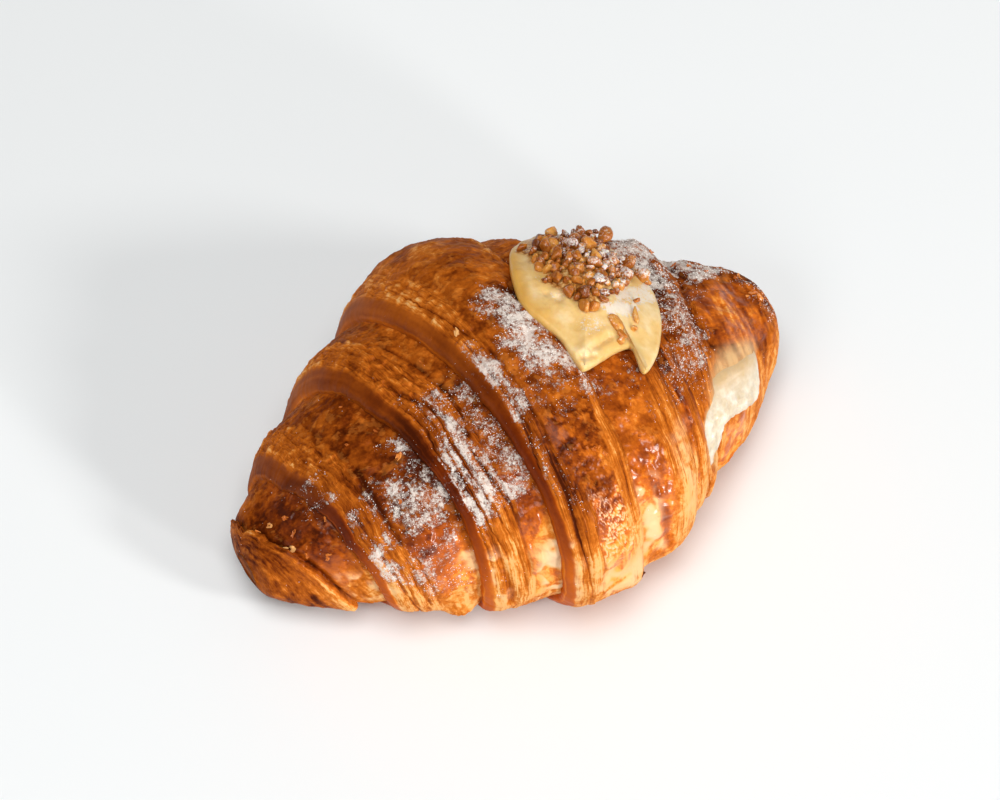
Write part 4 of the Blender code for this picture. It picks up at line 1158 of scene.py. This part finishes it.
class Look:
    """A node material, with short ways to add the nodes that it needs."""

    def __init__(self, name):
        self.material = bpy.data.materials.new(name)
        self.material.use_nodes = True
        self.tree = self.material.node_tree
        self.shader = self.tree.nodes["Principled BSDF"]
        self.where = self.node("TexCoord").outputs["Object"]

    def put(self, value, socket):
        """A link where the value is a socket, else a constant."""
        if isinstance(value, bpy.types.NodeSocket):
            self.tree.links.new(value, socket)
        else:
            socket.default_value = value

    def node(self, kind, inputs=(), **settings):
        made = self.tree.nodes.new("ShaderNode" + kind)
        for name, value in settings.items():
            setattr(made, name, value)
        for key, value in dict(inputs).items():
            self.put(value, made.inputs[key])
        return made

    def attribute(self, name, output="Fac"):
        return self.node("Attribute", attribute_name=name, attribute_type="GEOMETRY").outputs[output]

    def math(self, operation, a, b=0.0, c=0.0):
        return self.node("Math", {0: a, 1: b, 2: c}, operation=operation).outputs[0]

    def times(self, a, b, plus=None):
        if plus is None:
            return self.math("MULTIPLY", a, b)
        return self.math("MULTIPLY_ADD", a, b, plus)

    def centred(self, value, amount, base=0.0):
        """base plus amount times how far value is above a half."""
        return self.times(self.math("SUBTRACT", value, 0.5), amount, base)

    def span(self, value, low, high, first=0.0, last=1.0, kind="LINEAR"):
        """first where value is low and last where it is high."""
        inputs = {0: value, 1: low, 2: high, 3: first, 4: last}
        return self.node("MapRange", inputs, interpolation_type=kind).outputs[0]

    def step(self, value, low, high):
        return self.span(value, low, high, kind="SMOOTHSTEP")

    def noise(self, scale, detail=3.0, roughness=0.55, distortion=0.0, where=None):
        inputs = {"Scale": scale, "Detail": detail, "Roughness": roughness, "Distortion": distortion}
        inputs["Vector"] = self.where if where is None else where
        return self.node("TexNoise", inputs).outputs["Fac"]

    def stretched(self, where, scale):
        return self.node("Mapping", {"Vector": where, "Scale": scale}).outputs[0]

    def mix(self, factor, a, b, blend="MIX"):
        """a mixed with b by factor, where each is a socket or a colour."""
        a, b = (v if isinstance(v, bpy.types.NodeSocket) else (*v, 1.0) for v in (a, b))
        return self.node("Mix", {0: factor, 6: a, 7: b}, data_type="RGBA", blend_type=blend).outputs[2]

    def ramp(self, factor, stops):
        made = self.node("ValToRGB", {"Fac": factor})
        elements = made.color_ramp.elements
        while len(elements) < len(stops):
            elements.new(0.5)
        for element, (spot, colour) in zip(elements, stops):
            element.position = spot
            element.color = (*colour, 1.0)
        return made.outputs["Color"]

    def surface(self, sockets):
        for name, value in sockets.items():
            self.put(value, self.shader.inputs[name])

    def soft(self, weight, radius, scale):
        self.surface({"Subsurface Weight": weight, "Subsurface Radius": radius, "Subsurface Scale": scale})

    def bump(self, height, strength, distance):
        made = self.node("Bump", {"Height": height, "Strength": strength, "Distance": distance})
        self.surface({"Normal": made.outputs[0]})


def crust_material():
    look = Look("baked_crust")
    names = ("tone", "sugar", "pale", "layered", "gloss", "flake", "groove", "face", "amber", "pale_and_highlight")
    tone, sugar, pale, layered, gloss, flake, groove, face, amber, pale_and_highlight = map(look.attribute, names)
    flow = look.attribute("flow", "Vector")
    broad = look.noise(1.0, 4.0, 0.65, where=look.stretched(flow, (1.1, 0.09, 1.0)))
    thin = look.noise(1.0, 3.0, 0.6, where=look.stretched(flow, (3.6, 0.16, 1.0)))
    speck = look.noise(1000.0, 4.0, 0.65)
    blotch = look.noise(360.0, 4.0, 0.65, 0.6)
    calm = look.times(look.math("MAXIMUM", gloss, face), -0.7, 1.0)
    mottle = look.times(look.centred(speck, 0.5, look.centred(blotch, 0.6)), calm)
    streaks = look.times(look.centred(thin, 0.9, look.centred(broad, 0.7)), layered)
    shade = look.math("ADD", look.math("ADD", tone, mottle), streaks)
    chip = look.step(look.centred(speck, 0.22, flake), 0.0, 0.2)
    # Painted shade in the grooves of the layers
    groove_shade = look.span(look.centred(speck, 1.2, groove), 0.42, 0.75)
    shade = look.times(groove_shade, 0.14, look.times(chip, -0.09, shade))
    colour = look.ramp(shade, CRUST_COLOURS)
    colour = look.mix(look.times(chip, 0.12), colour, (0.60, 0.25, 0.05))
    colour = look.mix(amber, colour, (1.0, 0.76, 0.22), "MULTIPLY")
    colour = look.mix(look.times(pale, 0.8), colour, (0.70, 0.46, 0.22))
    # Pale spots and painted highlights mixed in
    colour = look.mix(pale_and_highlight, colour, (0.86, 0.66, 0.43))
    lace = look.noise(1000.0, 5.0, 0.85)
    clumps = look.noise(260.0, 3.0, 0.6)
    dust = look.step(look.centred(clumps, 1.6, look.centred(lace, 3.2, sugar)), 0.45, 1.05)
    dust = look.times(dust, look.span(sugar, 0.02, 0.2))
    colour = look.mix(look.times(dust, 0.86), colour, (0.82, 0.74, 0.67))
    shine = look.span(look.noise(160.0, 3.0, 0.6), 0.3, 0.7, 0.40, 0.62)
    coat = look.times(face, 0.10, look.times(gloss, 0.85, 0.03))
    look.surface({
        "Base Color": colour,
        "Roughness": look.times(dust, 0.4, shine),
        "Specular IOR Level": 0.02,
        "Coat Roughness": 0.2,
        "Coat Weight": look.times(coat, look.math("SUBTRACT", 1.0, dust)),
    })
    height = look.times(look.times(speck, 0.3), calm)
    height = look.times(thin, look.times(layered, 0.9), height)
    height = look.times(look.times(blotch, 0.4), calm, height)
    height = look.times(dust, 0.35, look.times(chip, 0.25, height))
    look.bump(height, 0.6, 0.0006)
    return look.material


def custard_material():
    look = Look("custard")
    sugar = look.attribute("sugar")
    colour = look.ramp(look.noise(160.0), CUSTARD_COLOURS)
    colour = look.mix(look.attribute("rich"), colour, (0.70, 0.37, 0.065))
    crumbs = look.ramp(look.noise(900.0, 4.0, 0.7), CRUMB_COLOURS)
    colour = look.mix(look.attribute("nutty"), colour, crumbs)
    dust = look.step(look.centred(look.noise(1500.0, 3.0, 0.65), 2.0, sugar), 0.42, 0.72)
    dust = look.times(dust, look.span(sugar, 0.02, 0.16))
    colour = look.mix(look.times(dust, 0.8), colour, (0.76, 0.68, 0.60))
    look.surface({"Base Color": colour, "Roughness": look.times(dust, 0.45, 0.34)})
    look.soft(0.35, (1.0, 0.6, 0.25), 0.004)
    look.bump(look.times(dust, 0.8, look.noise(700.0)), 0.35, 0.0004)
    return look.material


def nut_material():
    look = Look("caramelised_nut")
    speck = look.noise(1100.0)
    colour = look.ramp(look.centred(speck, 0.5, look.attribute("tone")), NUT_COLOURS)
    dust = look.centred(look.noise(1700.0, 3.0, 0.65), 1.6, look.attribute("sugar"))
    dust = look.step(dust, 0.42, 0.8)
    look.surface({
        "Base Color": look.mix(look.times(dust, 0.85), colour, (0.84, 0.78, 0.73)),
        "Roughness": look.times(dust, 0.45, 0.36),
        "Specular IOR Level": 0.2,
        "Coat Roughness": 0.15,
        "Coat Weight": look.times(dust, -0.35, 0.45),
    })
    look.soft(0.3, (1.0, 0.45, 0.15), 0.0022)
    look.bump(speck, 0.4, 0.0004)
    return look.material


def filling_material():
    look = Look("pale_cream")
    colour = look.ramp(look.noise(240.0, 4.0), FILLING_COLOURS)
    colour = look.mix(look.times(look.attribute("top"), 0.95), colour, (0.64, 0.43, 0.21))
    look.surface({"Base Color": colour, "Roughness": 0.28, "Coat Weight": 0.6, "Coat Roughness": 0.2})
    look.soft(0.35, (1.0, 0.7, 0.4), 0.004)
    look.bump(look.noise(600.0), 0.3, 0.0004)
    return look.material


def loose_material(name, roughness, coat, colours=()):
    """Two colours mixed by fine noise, or without them the colours of the crust by tone."""
    look = Look(name)
    speck = look.noise(900.0)
    if colours:
        colour = look.mix(speck, *colours)
    else:
        colour = look.ramp(look.centred(speck, 0.6, look.attribute("tone")), CRUST_COLOURS)
    look.surface({"Base Color": colour, "Roughness": roughness, "Specular IOR Level": 0.2})
    look.surface({"Coat Weight": coat, "Coat Roughness": 0.15})
    return look.material


crust_look = crust_material()
for crust in crusts:
    crust.data.materials.append(crust_look)
    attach(crust, "root")
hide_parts("croissant_body")
custard.data.materials.append(custard_material())
nuts.data.materials.append(nut_material())
filling.data.materials.append(filling_material())
grains.data.materials.append(loose_material("sugar", 0.5, 0.1, ((0.84, 0.79, 0.75), (0.92, 0.89, 0.86))))
flakes.data.materials.append(loose_material("flake_crust", 0.45, 0.3))
for piece, slot in (
    (grains, "baked_pastry"),
    (flakes, "baked_pastry"),
    (custard, "custard_and_nuts"),
    (nuts, "custard_and_nuts"),
    (filling, "pale_custard"),
):
    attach(piece, "root")
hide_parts("cream_topping")
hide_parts("cream_filling")

# Floor and light
bpy.ops.mesh.primitive_plane_add(size=6.0, location=(0, 0, 0))
floor = bpy.context.active_object
floor.name = "floor"
paper = bpy.data.materials.new("floor_paper")
paper.use_nodes = True
paper_shader = paper.node_tree.nodes["Principled BSDF"]
paper_shader.inputs["Base Color"].default_value = (0.86, 0.89, 0.905, 1.0)
paper_shader.inputs["Roughness"].default_value = 0.9
floor.data.materials.append(paper)

world = bpy.data.worlds.new("studio")
world.use_nodes = True
sky = world.node_tree.nodes["Background"]
sky.inputs["Color"].default_value = (1.0, 0.98, 0.96, 1.0)
sky.inputs["Strength"].default_value = 0.18
bpy.context.scene.world = world


def area_light(name, spot, size, energy, colour):
    light = bpy.data.lights.new(name, "AREA")
    light.shape = "DISK"
    light.size = size
    light.energy = energy
    light.color = colour
    made = bpy.data.objects.new(name, light)
    made.location = spot
    made.rotation_mode = "QUATERNION"
    made.rotation_quaternion = (Vector(spot) - Vector(LIT_POINT)).to_track_quat("Z", "Y")
    bpy.context.scene.collection.objects.link(made)


area_light("key_light", (1.7, -2.6, 1.7), 0.6, 44.0, WARM_WHITE)
area_light("low_light", (0.7, -2.4, 0.48), 0.3, 28.0, WARM_WHITE)
area_light("top_light", (-0.4, -0.7, 2.6), 1.8, 46.0, SOFT_WHITE)
area_light("left_light", (-2.5, -1.6, 2.4), 1.4, 28.0, SOFT_WHITE)

# Camera, from the front left and above
level = math.cos(VIEW_HEIGHT)
back = Vector((math.sin(VIEW_SIDE) * level, -math.cos(VIEW_SIDE) * level, math.sin(VIEW_HEIGHT)))
lens = bpy.data.cameras.new("camera")
lens.sensor_width = 36.0
lens.lens = FOCAL_LENGTH
lens.shift_x, lens.shift_y = LENS_SHIFT
camera = bpy.data.objects.new("camera", lens)
camera.location = Vector(SEEN_POINT) + back * VIEW_DISTANCE
camera.rotation_mode = "QUATERNION"
camera.rotation_quaternion = (-back).to_track_quat("-Z", "Y")
bpy.context.scene.collection.objects.link(camera)
bpy.context.scene.camera = camera
bpy.context.scene.view_settings.view_transform = "Standard"
